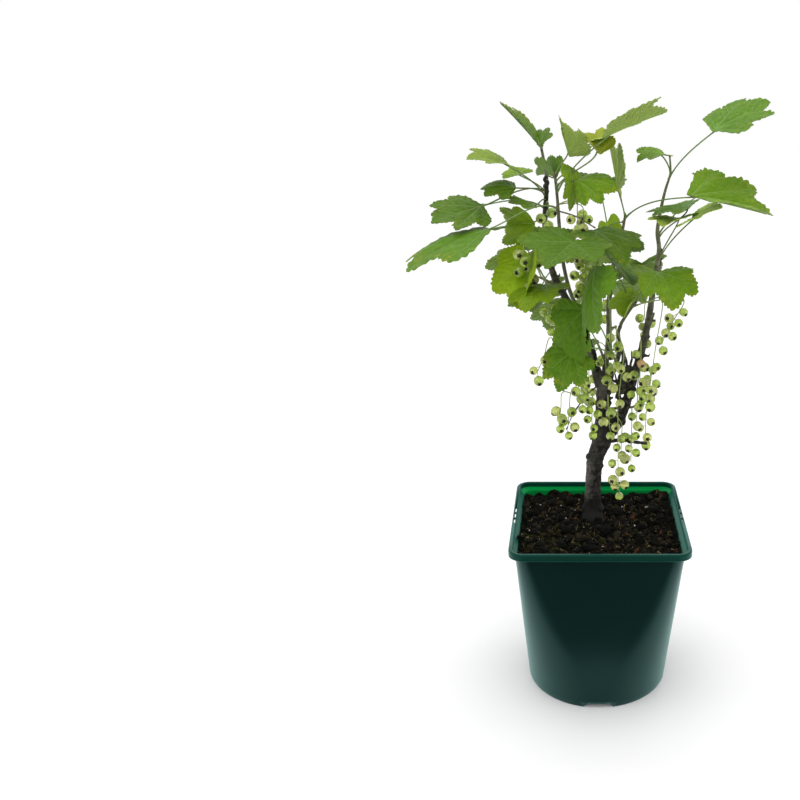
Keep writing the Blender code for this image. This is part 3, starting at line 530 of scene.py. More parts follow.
for number in range(700):
    x, y = clumps.gauss(-0.052, 0.014), clumps.gauss(-0.040, 0.015)
    flat = Vector((x, y))
    if flat.length > wall_reach(flat.normalized()) - 0.003:
        continue
    size = clumps.uniform(0.0005, 0.0014)
    place = np.array([x, y, SOIL_TOP + soil_height(x, y) + size * 0.6])
    tuft = 1 + 0.4 * np.array([clumps.uniform(-1, 1) for _ in grain])[:, None]
    heap_on(crumb_heap, grain * tuft * size + place, grain_faces, 2)
crumb_piece = joined("compost_crumbs", crumb_heap, *crumb_finishes)
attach(crumb_piece, "root")


# The old wood is one short leaning trunk with a knuckle of pruning scars, which forks into boughs.
# Its bark is dark grey-brown and rough low down, and thins to smooth grey and brown young wood. Its
# left-facing side is painted paler, as painted light from that side.
def mm(*values):
    return tuple(value * 0.001 for value in values)


def smooth_path(points, steps):
    """A Catmull-Rom curve through a few stations, each a point and a radius."""
    ends = [points[0]] + list(points) + [points[-1]]
    path = []
    for a, b, c, d in zip(ends, ends[1:], ends[2:], ends[3:]):
        for step in range(steps):
            t = step / steps
            path.append(tuple(
                0.5 * (2 * q + (r - p) * t + (2 * p - 5 * q + 4 * r - s) * t * t
                       + (3 * q - p - 3 * r + s) * t ** 3)
                for p, q, r, s in zip(a, b, c, d)))
    path.append(tuple(points[-1]))
    return [(Vector(p[:3]), p[3]) for p in path]


def growing_path(start, length, turns, radii, steps=8):
    """A limb that sets off at a point and turns as it grows: turns are (share, lean, azimuth)."""
    place = Vector(start)
    path = [(place.copy(), radii[0])]
    for step in range(steps):
        share = (step + 0.5) / steps
        for low, high in zip(turns, turns[1:]):
            if share <= high[0] or high is turns[-1]:
                blend = min(1.0, max(0.0, (share - low[0]) / (high[0] - low[0])))
                lean = math.radians(low[1] + (high[1] - low[1]) * blend)
                azimuth = math.radians(low[2] + (high[2] - low[2]) * blend)
                break
        heading = Vector((math.sin(lean) * math.cos(azimuth), math.sin(lean) * math.sin(azimuth),
                          math.cos(lean)))
        place = place + heading * (length / steps)
        path.append((place.copy(), radii[0] + (radii[1] - radii[0]) * (step + 1) / steps))
    return path


def finer(path, steps):
    """The same path with more stations on a smooth curve."""
    return smooth_path([(*point, radius) for point, radius in path], steps)


trunk_stations = ((0, 0, 0, 12.0), (0.2, 0, 5, 9.6), (0.6, 0, 18, 8.5), (1.2, 0.5, 44, 7.9),
                  (3.0, 0.5, 66, 8.2), (9.5, 1, 84, 9.4), (10.5, 2, 100, 8.6), (10.0, 3, 122, 7.2),
                  (9.5, 4, 143, 6.2))
paths = {"trunk": smooth_path([(*(TRUNK_FOOT + Vector(mm(x, y, z))), r * 0.001)
                               for x, y, z, r in trunk_stations], 2)}
# Each bough: foot, length, turns as (share of its length, lean, azimuth), and its two radii
boughs = {
    "bough_left": (mm(2.0, 24, 303), 0.168,
                   ((0, 12, 190), (0.35, 24, 185), (0.62, 31, 180), (0.78, 10, 180), (1, 5, 180)), (4.3, 2.7)),
    "bough_centre": (mm(6.5, 28, 302), 0.116,
                     ((0, -4, 0), (0.25, 8, 0), (0.55, -2, 0), (1, 9, 0)), (3.4, 2.3)),
    "bough_inner": (mm(7.5, 21, 292), 0.058, ((0, 12, 300), (0.5, 24, 320), (1, 8, 340)), (3.0, 2.2)),
    "bough_fore": (mm(-1.5, 14, 305), 0.172,
                   ((0, 16, 215), (0.3, 13, 200), (0.52, 24, 195), (0.7, 9, 190), (1, 3, 180)), (2.5, 1.6)),
    "bough_right": (mm(10.5, 24, 249), 0.178,
                    ((0, 40, 15), (0.22, 16, 20), (0.5, 15, 10), (0.75, 7, 0), (1, 8, 0)), (5.2, 2.5)),
    "bough_right_inner": (mm(21, 27, 281), 0.084, ((0, 4, 180), (0.4, 14, 0), (1, 22, 340)), (2.4, 1.8)),
}
stubs = {
    "stub_low": (mm(13, 20, 246), 0.040, ((0, 62, 330), (0.3, 86, 328), (1, 84, 326)), (1.9, 1.5)),
    "stub_cut": (mm(41, 31, 339), 0.036, ((0, 26, 25), (1, 18, 20)), (1.5, 1.2)),
    "twig_dead": (mm(-1, 18, 304), 0.056, ((0, 95, 230), (0.3, 130, 215), (1, 160, 200)), (0.9, 0.7)),
}
for name, (foot, length, turns, radii) in boughs.items():
    paths[name] = growing_path(foot, length, turns, mm(*radii), steps=10)
for name, (foot, length, turns, radii) in stubs.items():
    paths[name] = growing_path(foot, length, turns, mm(*radii), steps=4)

# Pruning scars and spurs of old fruiting wood: on which limb, share of its length, azimuth, size in mm
knuckles = (("trunk", 0.60, 20, 5.5), ("trunk", 0.66, 300, 4.5), ("trunk", 0.52, 200, 3.4),
            ("trunk", 0.34, 250, 2.6), ("trunk", 0.42, 350, 3.0), ("trunk", 0.26, 30, 2.4),
            ("trunk", 0.78, 240, 4.0), ("trunk", 0.88, 320, 3.6), ("bough_right", 0.06, 330, 4.2),
            ("bough_right", 0.30, 300, 3.4), ("bough_right", 0.44, 250, 2.8), ("bough_right", 0.62, 340, 2.4),
            ("bough_left", 0.12, 230, 3.2), ("bough_left", 0.38, 280, 2.4), ("bough_left", 0.60, 250, 2.2),
            ("bough_centre", 0.3, 290, 2.0), ("bough_fore", 0.4, 260, 1.8), ("bough_inner", 0.5, 300, 1.8),
            ("trunk", 0.19, 195, 4.3), ("trunk", 0.19, 345, 4.6), ("trunk", 0.92, 15, 5.2), ("trunk", 0.82, 30, 4.8), ("bough_right", 0.12, 185, 4.8),
            ("bough_right", 0.20, 200, 4.2), ("bough_right_inner", 0.2, 150, 3.0))


def rounded_tube(shape, path, sides):
    """A tube in a bmesh with a short dome on its end, for limbs that are fused afterwards."""
    tip, radius = path[-1]
    along = (tip - path[-2][0]).normalized()
    path = path + [(tip + along * radius * 0.5, radius * 0.8)]
    points, faces = tube_mesh(path, sides)
    verts = [shape.verts.new(point) for point in points]
    for face in faces:
        shape.faces.new([verts[corner] for corner in face])


shape = bmesh.new()
foot_down = [(TRUNK_FOOT + Vector((0, 0, -0.004)), 0.0125)]
rounded_tube(shape, foot_down + finer(paths["trunk"], 4), 40)
for name in list(boughs) + list(stubs):
    rounded_tube(shape, finer(paths[name], 4), 24)
for name, share, azimuth, size in knuckles:
    path = paths[name]
    point, radius = path[round(share * (len(path) - 1))]
    turn = math.radians(azimuth)
    out = Vector((math.cos(turn), math.sin(turn), 0.25))
    bmesh.ops.create_icosphere(shape, subdivisions=3, radius=size * 0.001,
                               matrix=Matrix.Translation(point + out * (radius - size * 0.00035)))
# A tangle of old wood fills the fork between the trunk and the right bough: x, y, z and size in mm
fork_burls = ((25, 25, 303, 5.0), (27, 23, 311, 4.6), (22, 25, 297, 4.2), (29, 24, 319, 4.2), (24, 23, 318, 3.4),
              (20, 24, 305, 3.0), (26, 25, 285, 4.2), (23, 24, 279, 4.0), (20, 25, 272, 3.8), (15, 22, 262, 4.6),
              (12, 22, 270, 3.6))
tangle = random.Random(29)
for x, y, z, size in fork_burls:
    middle = Vector(mm(x, y, z))
    bmesh.ops.create_icosphere(shape, subdivisions=3, radius=size * 0.001, matrix=Matrix.Translation(middle))
    for spur in range(4):
        out = Vector([tangle.uniform(-1, 1) for _ in range(3)]).normalized()
        reach = size * 0.001 + tangle.uniform(0.0010, 0.0045)
        knee = middle + out * reach * 0.7
        tip = middle + out * reach + Vector([tangle.uniform(-0.0012, 0.0012) for _ in range(3)])
        rounded_tube(shape, [(middle, 0.0022), (knee, 0.0015), (tip, 0.0009)], 10)
for foot, knee, tip in (((27, 24, 316), (27, 23, 327), (25, 22, 336)), ((30, 24, 320), (32, 22, 330), (31, 20, 339)),
                        ((21, 24, 303), (17, 23, 309), (16, 22, 315))):
    rounded_tube(shape, [(Vector(mm(*foot)), 0.0016), (Vector(mm(*knee)), 0.0011), (Vector(mm(*tip)), 0.0007)], 10)
# Broken spurs of dead fruiting wood stand out all round the fork and the lower boughs
dead_wood = random.Random(11)
for number in range(38):
    name = dead_wood.choice(("trunk", "bough_right", "bough_right", "bough_left", "bough_centre", "bough_right_inner"))
    reach = dead_wood.uniform(0.62, 0.97) if name == "trunk" else dead_wood.uniform(0.04, 0.72)
    point, radius = paths[name][round(reach * (len(paths[name]) - 1))]
    turn = dead_wood.uniform(0, math.tau)
    out = Vector((math.cos(turn), math.sin(turn), dead_wood.uniform(-0.3, 0.8))).normalized()
    start = point + out * radius * 0.5
    end = point + out * (radius + dead_wood.uniform(0.0015, 0.0055))
    bent = end + Vector((0, 0, dead_wood.uniform(-0.001, 0.003)))
    rounded_tube(shape, [(start, 0.0017), (end, 0.0012), (bent, 0.0008)], 10)
bmesh.ops.recalc_face_normals(shape, faces=shape.faces)
old_wood, tree, shader = new_finish("currant_bark")
bark = settle("bark_of_trunk_and_boughs", shape, old_wood, smooth=180)
fuse = bark.modifiers.new("fuse", "REMESH")
fuse.mode = "VOXEL"
fuse.voxel_size = 0.00072
ease = bark.modifiers.new("ease", "SMOOTH")
ease.factor = 0.5
ease.iterations = 4
bpy.context.view_layer.update()
bark_mesh = bpy.data.meshes.new_from_object(bark.evaluated_get(bpy.context.evaluated_depsgraph_get()))
bark.modifiers.clear()
bark.data = bark_mesh

LIMB_YOUTH = {"bough_centre": 0.45, "bough_left": -0.6}
limb_points = []
for name, path in paths.items():
    for point, radius in finer(path, 3):
        limb_points.append((*point, radius, LIMB_YOUTH.get(name, 0.0)))
limb_points = np.array(limb_points)
count = len(bark_mesh.vertices)
places = np.empty(count * 3)
bark_mesh.vertices.foreach_get("co", places)
places = places.reshape(-1, 3)
normals = np.empty(count * 3)
bark_mesh.vertices.foreach_get("normal", normals)
normals = normals.reshape(-1, 3)
young = np.empty(count)
pale = np.empty(count)
for index, place in enumerate(places):
    away = np.sum((limb_points[:, :3] - place) ** 2, axis=1) ** 0.5 - limb_points[:, 3]
    radius, youth = limb_points[int(np.argmin(away)), 3:]
    young[index] = min(1.0, max(0.0, (0.0058 - radius) / 0.0034 * 0.4 + (place[2] - 0.33) / 0.13 + youth))
    old = 1 - young[index]
    spot = Vector(place)
    stretched = Vector((spot.x * 420, spot.y * 420, spot.z * 210))
    ridge = noise.ridged_multi_fractal(stretched, 0.9, 2.1, 4, 1.0, 2.0) - 1.1
    lump = noise.noise(spot * 190)
    fine = noise.noise(spot * 900)
    flare = max(0.0, 1 - (spot.z - 0.158) / 0.03) if spot.z < 0.19 else 0.0
    turn = math.atan2(spot.y - TRUNK_FOOT.y, spot.x - TRUNK_FOOT.x)
    root = flare * flare * 0.0016 * math.cos(3 * turn + 0.6)
    push = old * (0.00038 * ridge + 0.0006 * lump) + 0.00014 * fine + 0.00018 * young[index] * lump + root
    places[index] += normals[index] * push
    worn = math.exp(-((spot.x - 0.003) / 0.0038) ** 2 - ((spot.z - 0.305) / 0.013) ** 2) * (normals[index][1] < 0.2)
    buried = 1 - min(1.0, max(0.0, (spot.z - 0.172) / 0.020))
    streak = noise.noise(Vector((spot.x * 520, spot.y * 520, spot.z * 210)))
    band = noise.noise(Vector((spot.x * 160, spot.y * 160, spot.z * 420)))
    # Painted light: bark that faces left, most of all below the fork, is made paler as if lit from that side. The pale
    # bark mask carries this painted light together with the real streaks, bands, ridges, worn scar and soil-darkened
    # foot.
    lit_side = max(0.0, 0.15 - normals[index][0]) * (1.0 if spot.z < 0.235 else 0.35)
    shade = 0.09 + 0.50 * lit_side + 0.32 * streak + 0.30 * band + 0.16 * ridge + 0.25 * fine
    shade += 0.9 * worn - 1.2 * buried
    pale[index] = min(1.0, max(0.0, shade))
bark_mesh.vertices.foreach_set("co", places.ravel())
for label, values in (("young_wood", young), ("pale_bark_and_painted_light", pale)):
    mask = bark_mesh.attributes.new(label, "FLOAT", "POINT")
    mask.data.foreach_set("value", values.astype(np.float32))
bark_mesh.shade_smooth()
bark_mesh.update()

young_wood = tree.nodes.new("ShaderNodeAttribute")
young_wood.attribute_name = "young_wood"
pale_bark_and_painted_light = tree.nodes.new("ShaderNodeAttribute")
pale_bark_and_painted_light.attribute_name = "pale_bark_and_painted_light"
rough_bark = two_colours(tree, pale_bark_and_painted_light.outputs["Fac"], (0.0075, 0.0065, 0.0055), (0.165, 0.152, 0.135))
rough_bark = two_colours(tree, patches(tree, 34, 0.52, 0.66), rough_bark, (0.020, 0.021, 0.017))
smooth_bark = two_colours(tree, patches(tree, 240, 0.4, 0.7), (0.105, 0.105, 0.066), (0.21, 0.215, 0.14))
tree.links.new(two_colours(tree, young_wood.outputs["Fac"], rough_bark, smooth_bark),
               shader.inputs["Base Color"])
shader.inputs["Roughness"].default_value = 0.85
shader.inputs["Specular IOR Level"].default_value = 0.3
bumped(tree, shader, patches(tree, 1100, 0.3, 0.7), 0.0006)
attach(bark, "root")
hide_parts("trunk", *boughs, *stubs)


# Leaves grow on stalks from green shoots that carry the boughs on, and from short spurs on their
# sides. Each is a lobed, toothed, pleated blade with raised veins, darker on top than underneath.
GAP = 0.0003
LEAF_OUTLINE = ((0, 1.0), (28, 0.74), (49, 0.90), (79, 0.60), (108, 0.64), (140, 0.40))
LEAF_NOTCH = 0.07
LEAF_THICKNESS = 0.00034
LOBE_ANGLES = (0, 49, 108)
TOOTH_PITCH = 0.078
TOOTH_DEPTH = 0.032
TOOTH_PROFILE = (0.0, 0.8, 1.0, 0.62)
RINGS = 18
RING_SHARES = [0.08 + 0.92 * ring / (RINGS - 1) for ring in range(RINGS)]
PLEAT_DEPTH = 0.040
RIB_PITCH = 0.135
PETIOLE_RADIUS = 0.00068
PETIOLE_SUNK = 0.0025
LEAF_TINTS = ("mid", "deep", "cool", "soft", "fresh", "lime", "pale", "painted_backlight", "turning")


def station(path, share):
    """The point, radius and direction of a path at a share of its length."""
    place = share * (len(path) - 1)
    low = min(int(place), len(path) - 2)
    (start, start_radius), (end, end_radius) = path[low], path[low + 1]
    radius = start_radius + (end_radius - start_radius) * (place - low)
    return start.lerp(end, place - low), radius, (end - start).normalized()


def stem_on(path, length, turns, end_radius, steps=5):
    """A mass's own stem, which carries on from a bough's tip."""
    tip, radius = path[-1]
    along = (tip - path[-2][0]).normalized()
    start = tip + along * (GAP + 0.0001)
    grown = growing_path(start + along * 0.002, length * 0.001, turns, (radius * 0.94, end_radius * 0.001), steps)
    return [(tip - along * 0.003, radius * 0.9), (start, radius * 0.94)] + grown


def spur_on(path, share, lean, azimuth, length, radius=1.3, steps=2):
    """A short side shoot that starts on the side of a bough."""
    centre, parent_radius, grain = station(path, share)
    lean, azimuth = math.radians(lean), math.radians(azimuth)
    heading = Vector((math.sin(lean) * math.cos(azimuth), math.sin(lean) * math.sin(azimuth), math.cos(lean)))
    outward = (heading - grain * heading.dot(grain)).normalized()
    rise = abs(heading.dot(grain))
    start = centre + outward * (parent_radius + GAP + 0.0001 + radius * 0.001 * rise)
    degrees = (math.degrees(lean), math.degrees(azimuth))
    grown = growing_path(start, length * 0.001, ((0, *degrees), (1, *degrees)),
                         (radius * 0.001, radius * 0.0008), steps)
    return [(centre + outward * parent_radius * 0.3, radius * 0.0012)] + grown


def blade_axes(heading, pitch, roll):
    """Midrib, side and upper face of a blade: heading 0 is +X, and roll lifts the left half."""
    heading, pitch, roll = (math.radians(angle) for angle in (heading, pitch, roll))
    midrib = Vector((math.cos(pitch) * math.cos(heading), math.cos(pitch) * math.sin(heading),
                     math.sin(pitch)))
    side = Vector((-math.sin(heading), math.cos(heading), 0))
    upper = midrib.cross(side)
    return (midrib, side * math.cos(roll) + upper * math.sin(roll),
            upper * math.cos(roll) - side * math.sin(roll))


def toothed_outline(spread, chance):
    """The blade's outline on a leaf of size 1: lobes with bowed sides and rounded, uneven teeth."""
    corners = [(-angle * spread, reach) for angle, reach in reversed(LEAF_OUTLINE)]
    corners += [(angle * spread, reach) for angle, reach in LEAF_OUTLINE[1:]]
    corners = [(angle + chance.uniform(-2.5, 2.5), reach * chance.uniform(0.95, 1.03)) for angle, reach in corners]
    corners = [np.array((reach * math.cos(math.radians(angle)), reach * math.sin(math.radians(angle))))
               for angle, reach in corners]
    corners.append(np.array((-LEAF_NOTCH, 0.0)))
    outline = []
    for index, (start, end) in enumerate(zip(corners, corners[1:] + corners[:1])):
        run = end - start
        length = math.hypot(*run)
        out = np.array((run[1], -run[0])) / length
        if out @ (start + end) < 0:
            out = -out
        basal = index >= len(corners) - 2
        teeth = 3 if basal else max(2, round(length / TOOTH_PITCH))
        towards_tip = np.hypot(*start) > np.hypot(*end)
        for tooth in range(teeth):
            growth = chance.uniform(0.45, 1.3)
            for step, rise in enumerate(TOOTH_PROFILE):
                share = (tooth + step / len(TOOTH_PROFILE)) / teeth
                rise = rise if towards_tip else TOOTH_PROFILE[(len(TOOTH_PROFILE) - step) % len(TOOTH_PROFILE)]
                depth = 0.4 * TOOTH_DEPTH if basal else TOOTH_DEPTH * (0.7 + 0.5 * math.sin(share * math.pi))
                bow = 0.0 if basal else 0.035 * math.sin(share * math.pi)
                outline.append(start + run * share + out * (rise * depth * growth + bow - 0.3 * TOOTH_DEPTH))
    return np.array(outline)


class Blade:
    """The curved surface of one leaf, which its faces and its veins are laid on."""

    def __init__(self, joint, attitude, size, fold, droop, spread, seed):
        self.joint = np.array(joint)
        self.midrib, self.side, self.upper = (np.array(axis) for axis in blade_axes(*attitude))
        self.size = size
        self.fold = math.radians(fold)
        self.bend = size / max(math.radians(droop), 0.01)
        self.spread = spread
        chance = random.Random(seed)
        self.wave = [chance.uniform(0, math.tau) for _ in range(4)]
        self.unrest = chance.uniform(0.7, 1.3)
        self.outline = toothed_outline(spread, chance)
        self.veins = np.radians(sorted({sign * angle * spread for angle in LOBE_ANGLES for sign in (-1, 1)}))
        self.ageing = chance.uniform(0.1, 0.9)

    def at(self, u, v, level):
        """World points of blade points on a leaf of size 1, at a height over its middle layer."""
        angle, reach = np.arctan2(v, u), np.hypot(u, v)
        edges = np.concatenate(([-math.pi], self.veins, [math.pi]))
        cell = np.clip(np.searchsorted(edges, angle) - 1, 0, len(edges) - 2)
        share = (angle - edges[cell]) / (edges[cell + 1] - edges[cell])
        pleat = np.sin(np.pi * share) ** 0.8 * PLEAT_DEPTH * np.clip(reach * 2.4, 0, 1) * (1.15 - 0.6 * reach)
        nearest = self.veins[np.argmin(np.abs(angle[..., None] - self.veins), axis=-1)]
        along = reach * np.cos(angle - nearest)
        off = np.abs(reach * np.sin(angle - nearest))
        ribs = -np.cos(math.tau * (along - off * 0.9) / RIB_PITCH) * 0.0065 * np.clip(off / 0.1, 0, 1)
        w = self.wave
        wave = reach ** 2 * (0.030 * np.sin(3 * angle + w[0]) + 0.020 * np.sin(5 * angle + w[1])
                             + 0.012 * np.sin(9 * angle + w[2]))
        curl = -0.07 * np.abs(v) ** 2.4 - 0.03 * np.clip(reach - 0.8, 0, 1)
        relief = (pleat + ribs + wave * self.unrest + curl) * self.size + level
        u, v = u * self.size, v * self.size
        rise = self.bend + np.abs(v) * math.sin(self.fold) + relief
        v = v * math.cos(self.fold)
        turn = u / self.bend
        along, over = rise * np.sin(turn), rise * np.cos(turn) - self.bend
        return self.joint + along[..., None] * self.midrib + v[..., None] * self.side + over[..., None] * self.upper

    def faces_on(self, heap, finish):
        """Adds the blade itself: an upper and a lower skin of rings, closed along the toothed edge."""
        outline = self.outline
        count = len(outline)
        points, faces, materials = [], [], []
        for number, level in enumerate((LEAF_THICKNESS / 2, -LEAF_THICKNESS / 2)):
            base = len(points)
            points.extend(self.at(np.zeros(1), np.zeros(1), level))
            heap["margin"].append(0.0)
            for share in RING_SHARES:
                heap["margin"].extend([self.ageing * share ** 5] * count)
                points.extend(self.at(outline[:, 0] * share, outline[:, 1] * share, level))
            for step in range(count):
                after = (step + 1) % count
                ring = [(base, base + 1 + step, base + 1 + after)]
                for low in range(len(RING_SHARES) - 1):
                    inner, outer = base + 1 + low * count, base + 1 + (low + 1) * count
                    ring.append((inner + step, outer + step, outer + after, inner + after))
                faces.extend(ring if number == 0 else [tuple(reversed(face)) for face in ring])
                materials.extend([finish + number] * len(ring))
        top_edge = 1 + (len(RING_SHARES) - 1) * count
        low_edge = top_edge + 1 + len(RING_SHARES) * count
        for step in range(count):
            after = (step + 1) % count
            faces.append((top_edge + step, low_edge + step, low_edge + after, top_edge + after))
            materials.append(finish)
        heap["points"].append(np.array(points))
        heap["faces"].extend([tuple(heap["count"] + corner for corner in face) for face in faces])
        heap["finish"].extend(materials)
        heap["count"] += len(points)

    def vein_on(self, heap, route, width, finish):
        """Adds one vein: a tapering bar that stands a little over the blade and more under it."""
        route = np.array(route)
        run = np.gradient(route, axis=0)
        run /= np.hypot(run[:, 0], run[:, 1])[:, None] + 1e-9
        across = np.stack((-run[:, 1], run[:, 0]), axis=1)
        taper = np.linspace(1, 0.35, len(route))[:, None] * width / self.size
        points = []
        for way, level, share in ((1, 0.00009, 1), (-1, 0.00009, 1), (-1, -0.00042, 0.55), (1, -0.00042, 0.55)):
            flat = route + across * taper * way * share
            half = LEAF_THICKNESS / 2
            points.append(self.at(flat[:, 0], flat[:, 1], level + (half if level > 0 else -half)))
        rows = np.stack(points, axis=1).reshape(-1, 3)
        faces = [(0, 1, 2, 3)]
        for row in range(len(route) - 1):
            for side in range(4):
                low, after = row * 4 + side, row * 4 + (side + 1) % 4
                faces.append((low, low + 4, after + 4, after))
        last = (len(route) - 1) * 4
        faces.append((last + 3, last + 2, last + 1, last))
        heap_on(heap, rows, faces, finish)
        heap["margin"].extend([0.0] * len(rows))

    def veins_on(self, heap, finish):
        """Adds the main veins, one to each lobe, and the side veins that leave them in pairs."""
        reaches = {0: 0.93, 49: 0.84, 108: 0.58}
        for lobe in LOBE_ANGLES:
            for sign in ((1,) if lobe == 0 else (-1, 1)):
                angle = math.radians(lobe * self.spread) * sign
                way = np.array((math.cos(angle), math.sin(angle)))
                reach = reaches[lobe]
                shares = np.linspace(0.015, reach, 10)
                self.vein_on(heap, [way * share for share in shares], 0.00042 if lobe < 100 else 0.0003, finish)
                start = 0.24 if lobe == 0 else 0.30
                number = 0
                while start < reach - 0.14:
                    for hand in (-1, 1):
                        turned = angle + hand * math.radians(44)
                        branch = np.array((math.cos(turned), math.sin(turned)))
                        free = min(0.24, (reach - start) * 0.62, start * 0.55)
                        bent = way * free * 0.25
                        self.vein_on(heap, [way * (start + 0.02 * hand) + branch * free * t + bent * t * t
                                            for t in np.linspace(0, 1, 4)], 0.00022, finish)
                    start += RIB_PITCH
                    number += 1


def petiole_path(start, joint, attitude):
    """The leaf stalk: it leaves the stem upwards, arches over and runs on under the blade."""
    midrib, _, upper = blade_axes(*attitude)
    joint = joint + midrib * PETIOLE_SUNK - upper * LEAF_THICKNESS * 0.7
    reach = (joint - start).length
    first = ((joint - start).normalized() + Vector((0, 0, 0.7))).normalized()
    points = (start, start + first * reach * 0.35,
              joint - (midrib * 0.8 + (joint - start).normalized()).normalized() * reach * 0.25, joint)
    path = []
    for step in range(13):
        t = step / 12
        weights = ((1 - t) ** 3, 3 * t * (1 - t) ** 2, 3 * t * t * (1 - t), t ** 3)
        swell = 1.0 + 0.7 * max(0.0, 1 - t * 6) + 0.25 * max(0.0, t * 6 - 5)
        path.append((sum((w * p for w, p in zip(weights, points)), Vector()), PETIOLE_RADIUS * swell))
    return path


# The brightest green is painted light: it stands in for light shining through a leaf from behind.
leaf_greens = {"mid": (0.114, 0.222, 0.007), "deep": (0.064, 0.138, 0.005), "cool": (0.079, 0.180, 0.007),
               "soft": (0.180, 0.265, 0.028), "fresh": (0.165, 0.280, 0.008), "lime": (0.25, 0.40, 0.010),
               "pale": (0.27, 0.38, 0.060), "painted_backlight": (0.45, 0.62, 0.12),
               "turning": (0.25, 0.30, 0.020)}
leaf_finishes = []


def yellowed(tree, tissue):
    """Lets the green run to yellow-brown in patches along the leaf's margin."""
    margin = tree.nodes.new("ShaderNodeAttribute")
    margin.attribute_name = "margin"
    patchy = tree.nodes.new("ShaderNodeMath")
    patchy.operation = "MULTIPLY"
    tree.links.new(margin.outputs["Fac"], patchy.inputs[0])
    tree.links.new(patches(tree, 90, 0.42, 0.62), patchy.inputs[1])
    return two_colours(tree, patchy.outputs["Value"], tissue, (0.34, 0.30, 0.03))


for tint, colour in leaf_greens.items():
    top, tree, shader = new_finish(f"leaf_top_{tint}", Specular_IOR_Level=0.16, Specular_Tint=(0.9, 1.0, 0.7, 1.0))
    brighter = tuple(min(1.0, value * 1.22) for value in colour)
    fine = patches(tree, 260)
    tissue = two_colours(tree, patches(tree, 46, 0.4, 0.7), colour, brighter)
    tissue = yellowed(tree, tissue)
    tree.links.new(two_colours(tree, fine, tissue, tuple(value * 0.88 for value in colour)),
                   shader.inputs["Base Color"])
    spread_over(tree, fine, shader.inputs["Roughness"], 0.48, 0.62)
    under, tree, shader = new_finish(f"leaf_underside_{tint}", Roughness=0.62, Specular_IOR_Level=0.3)
    paler = tuple(value * 0.65 + 0.35 * grey for value, grey in zip(colour, (0.34, 0.44, 0.14)))
    tree.links.new(two_colours(tree, patches(tree, 110), paler, tuple(value * 0.9 for value in paler)),
                   shader.inputs["Base Color"])
    vein, tree, shader = new_finish(f"leaf_vein_{tint}", Roughness=0.5)
    light_vein = tuple(value * 0.82 + 0.18 * grey for value, grey in zip(colour, (0.26, 0.40, 0.075)))
    tree.links.new(two_colours(tree, patches(tree, 120), light_vein, tuple(value * 1.15 for value in light_vein)),
                   shader.inputs["Base Color"])
    leaf_finishes += [top, under, vein]
stalk_green, tree, shader = new_finish("leaf_stalk", Roughness=0.5)
tree.links.new(two_colours(tree, patches(tree, 40, 0.52, 0.68), (0.15, 0.24, 0.06), (0.17, 0.14, 0.06)),
               shader.inputs["Base Color"])
shoot_green, tree, shader = new_finish("green_shoot", Roughness=0.6)
tree.links.new(two_colours(tree, patches(tree, 120, 0.4, 0.65), (0.10, 0.085, 0.045), (0.16, 0.15, 0.08)),
               shader.inputs["Base Color"])
bumped(tree, shader, patches(tree, 700), 0.0003)
bud_brown, tree, shader = new_finish("bud_scale", Roughness=0.6)
tree.links.new(two_colours(tree, patches(tree, 500), (0.10, 0.055, 0.03), (0.17, 0.10, 0.05)),
               shader.inputs["Base Color"])
calyx_brown, tree, shader = new_finish("withered_flower", Roughness=0.8)
tree.links.new(two_colours(tree, patches(tree, 900), (0.005, 0.003, 0.002), (0.014, 0.008, 0.004)),
               shader.inputs["Base Color"])

old_shoot, tree, shader = new_finish("old_shoot", Roughness=0.8)
tree.links.new(two_colours(tree, patches(tree, 260, 0.4, 0.7), (0.012, 0.010, 0.008), (0.060, 0.052, 0.040)),
               shader.inputs["Base Color"])
bumped(tree, shader, patches(tree, 700), 0.0005)
grey_shoot, tree, shader = new_finish("grey_shoot", Roughness=0.6)
tree.links.new(two_colours(tree, patches(tree, 120, 0.4, 0.65), (0.13, 0.14, 0.075), (0.22, 0.235, 0.13)),
               shader.inputs["Base Color"])
bumped(tree, shader, patches(tree, 700), 0.0003)
SHOOT_BARKS = {"green": 0, "old": 2, "grey": 3}

shoot_heap, stalk_heap, strig_heap = gather(), gather(), gather()
berry_heap, calyx_heap = gather(), gather()
bud_form, bud_faces = small_solid(bmesh.ops.create_uvsphere, u_segments=8, v_segments=6, radius=1.0)
knot_form, knot_faces = small_solid(bmesh.ops.create_icosphere, subdivisions=2, radius=1.0)
BERRY_RADIUS = 0.0049
STRIG_RADIUS = 0.00038
PEDICEL = 0.0034
BLUSHED_BERRY = Vector(mm(39.5, 2.0, 331.0))
GOLDEN_TURN = math.radians(137.5)


def strig_path(start, knee, drop, drift):
    """A fruit stalk: out from the spur to its knee, then hanging down, a little off the vertical."""
    end = knee + Vector((drift[0], drift[1], -drop))
    return [(start, STRIG_RADIUS * 1.6), (start.lerp(knee, 0.55) + Vector((0, 0, 0.0025)), STRIG_RADIUS * 1.4),
            (knee, STRIG_RADIUS * 1.3), (knee.lerp(end, 0.5), STRIG_RADIUS * 1.15), (end, STRIG_RADIUS)]


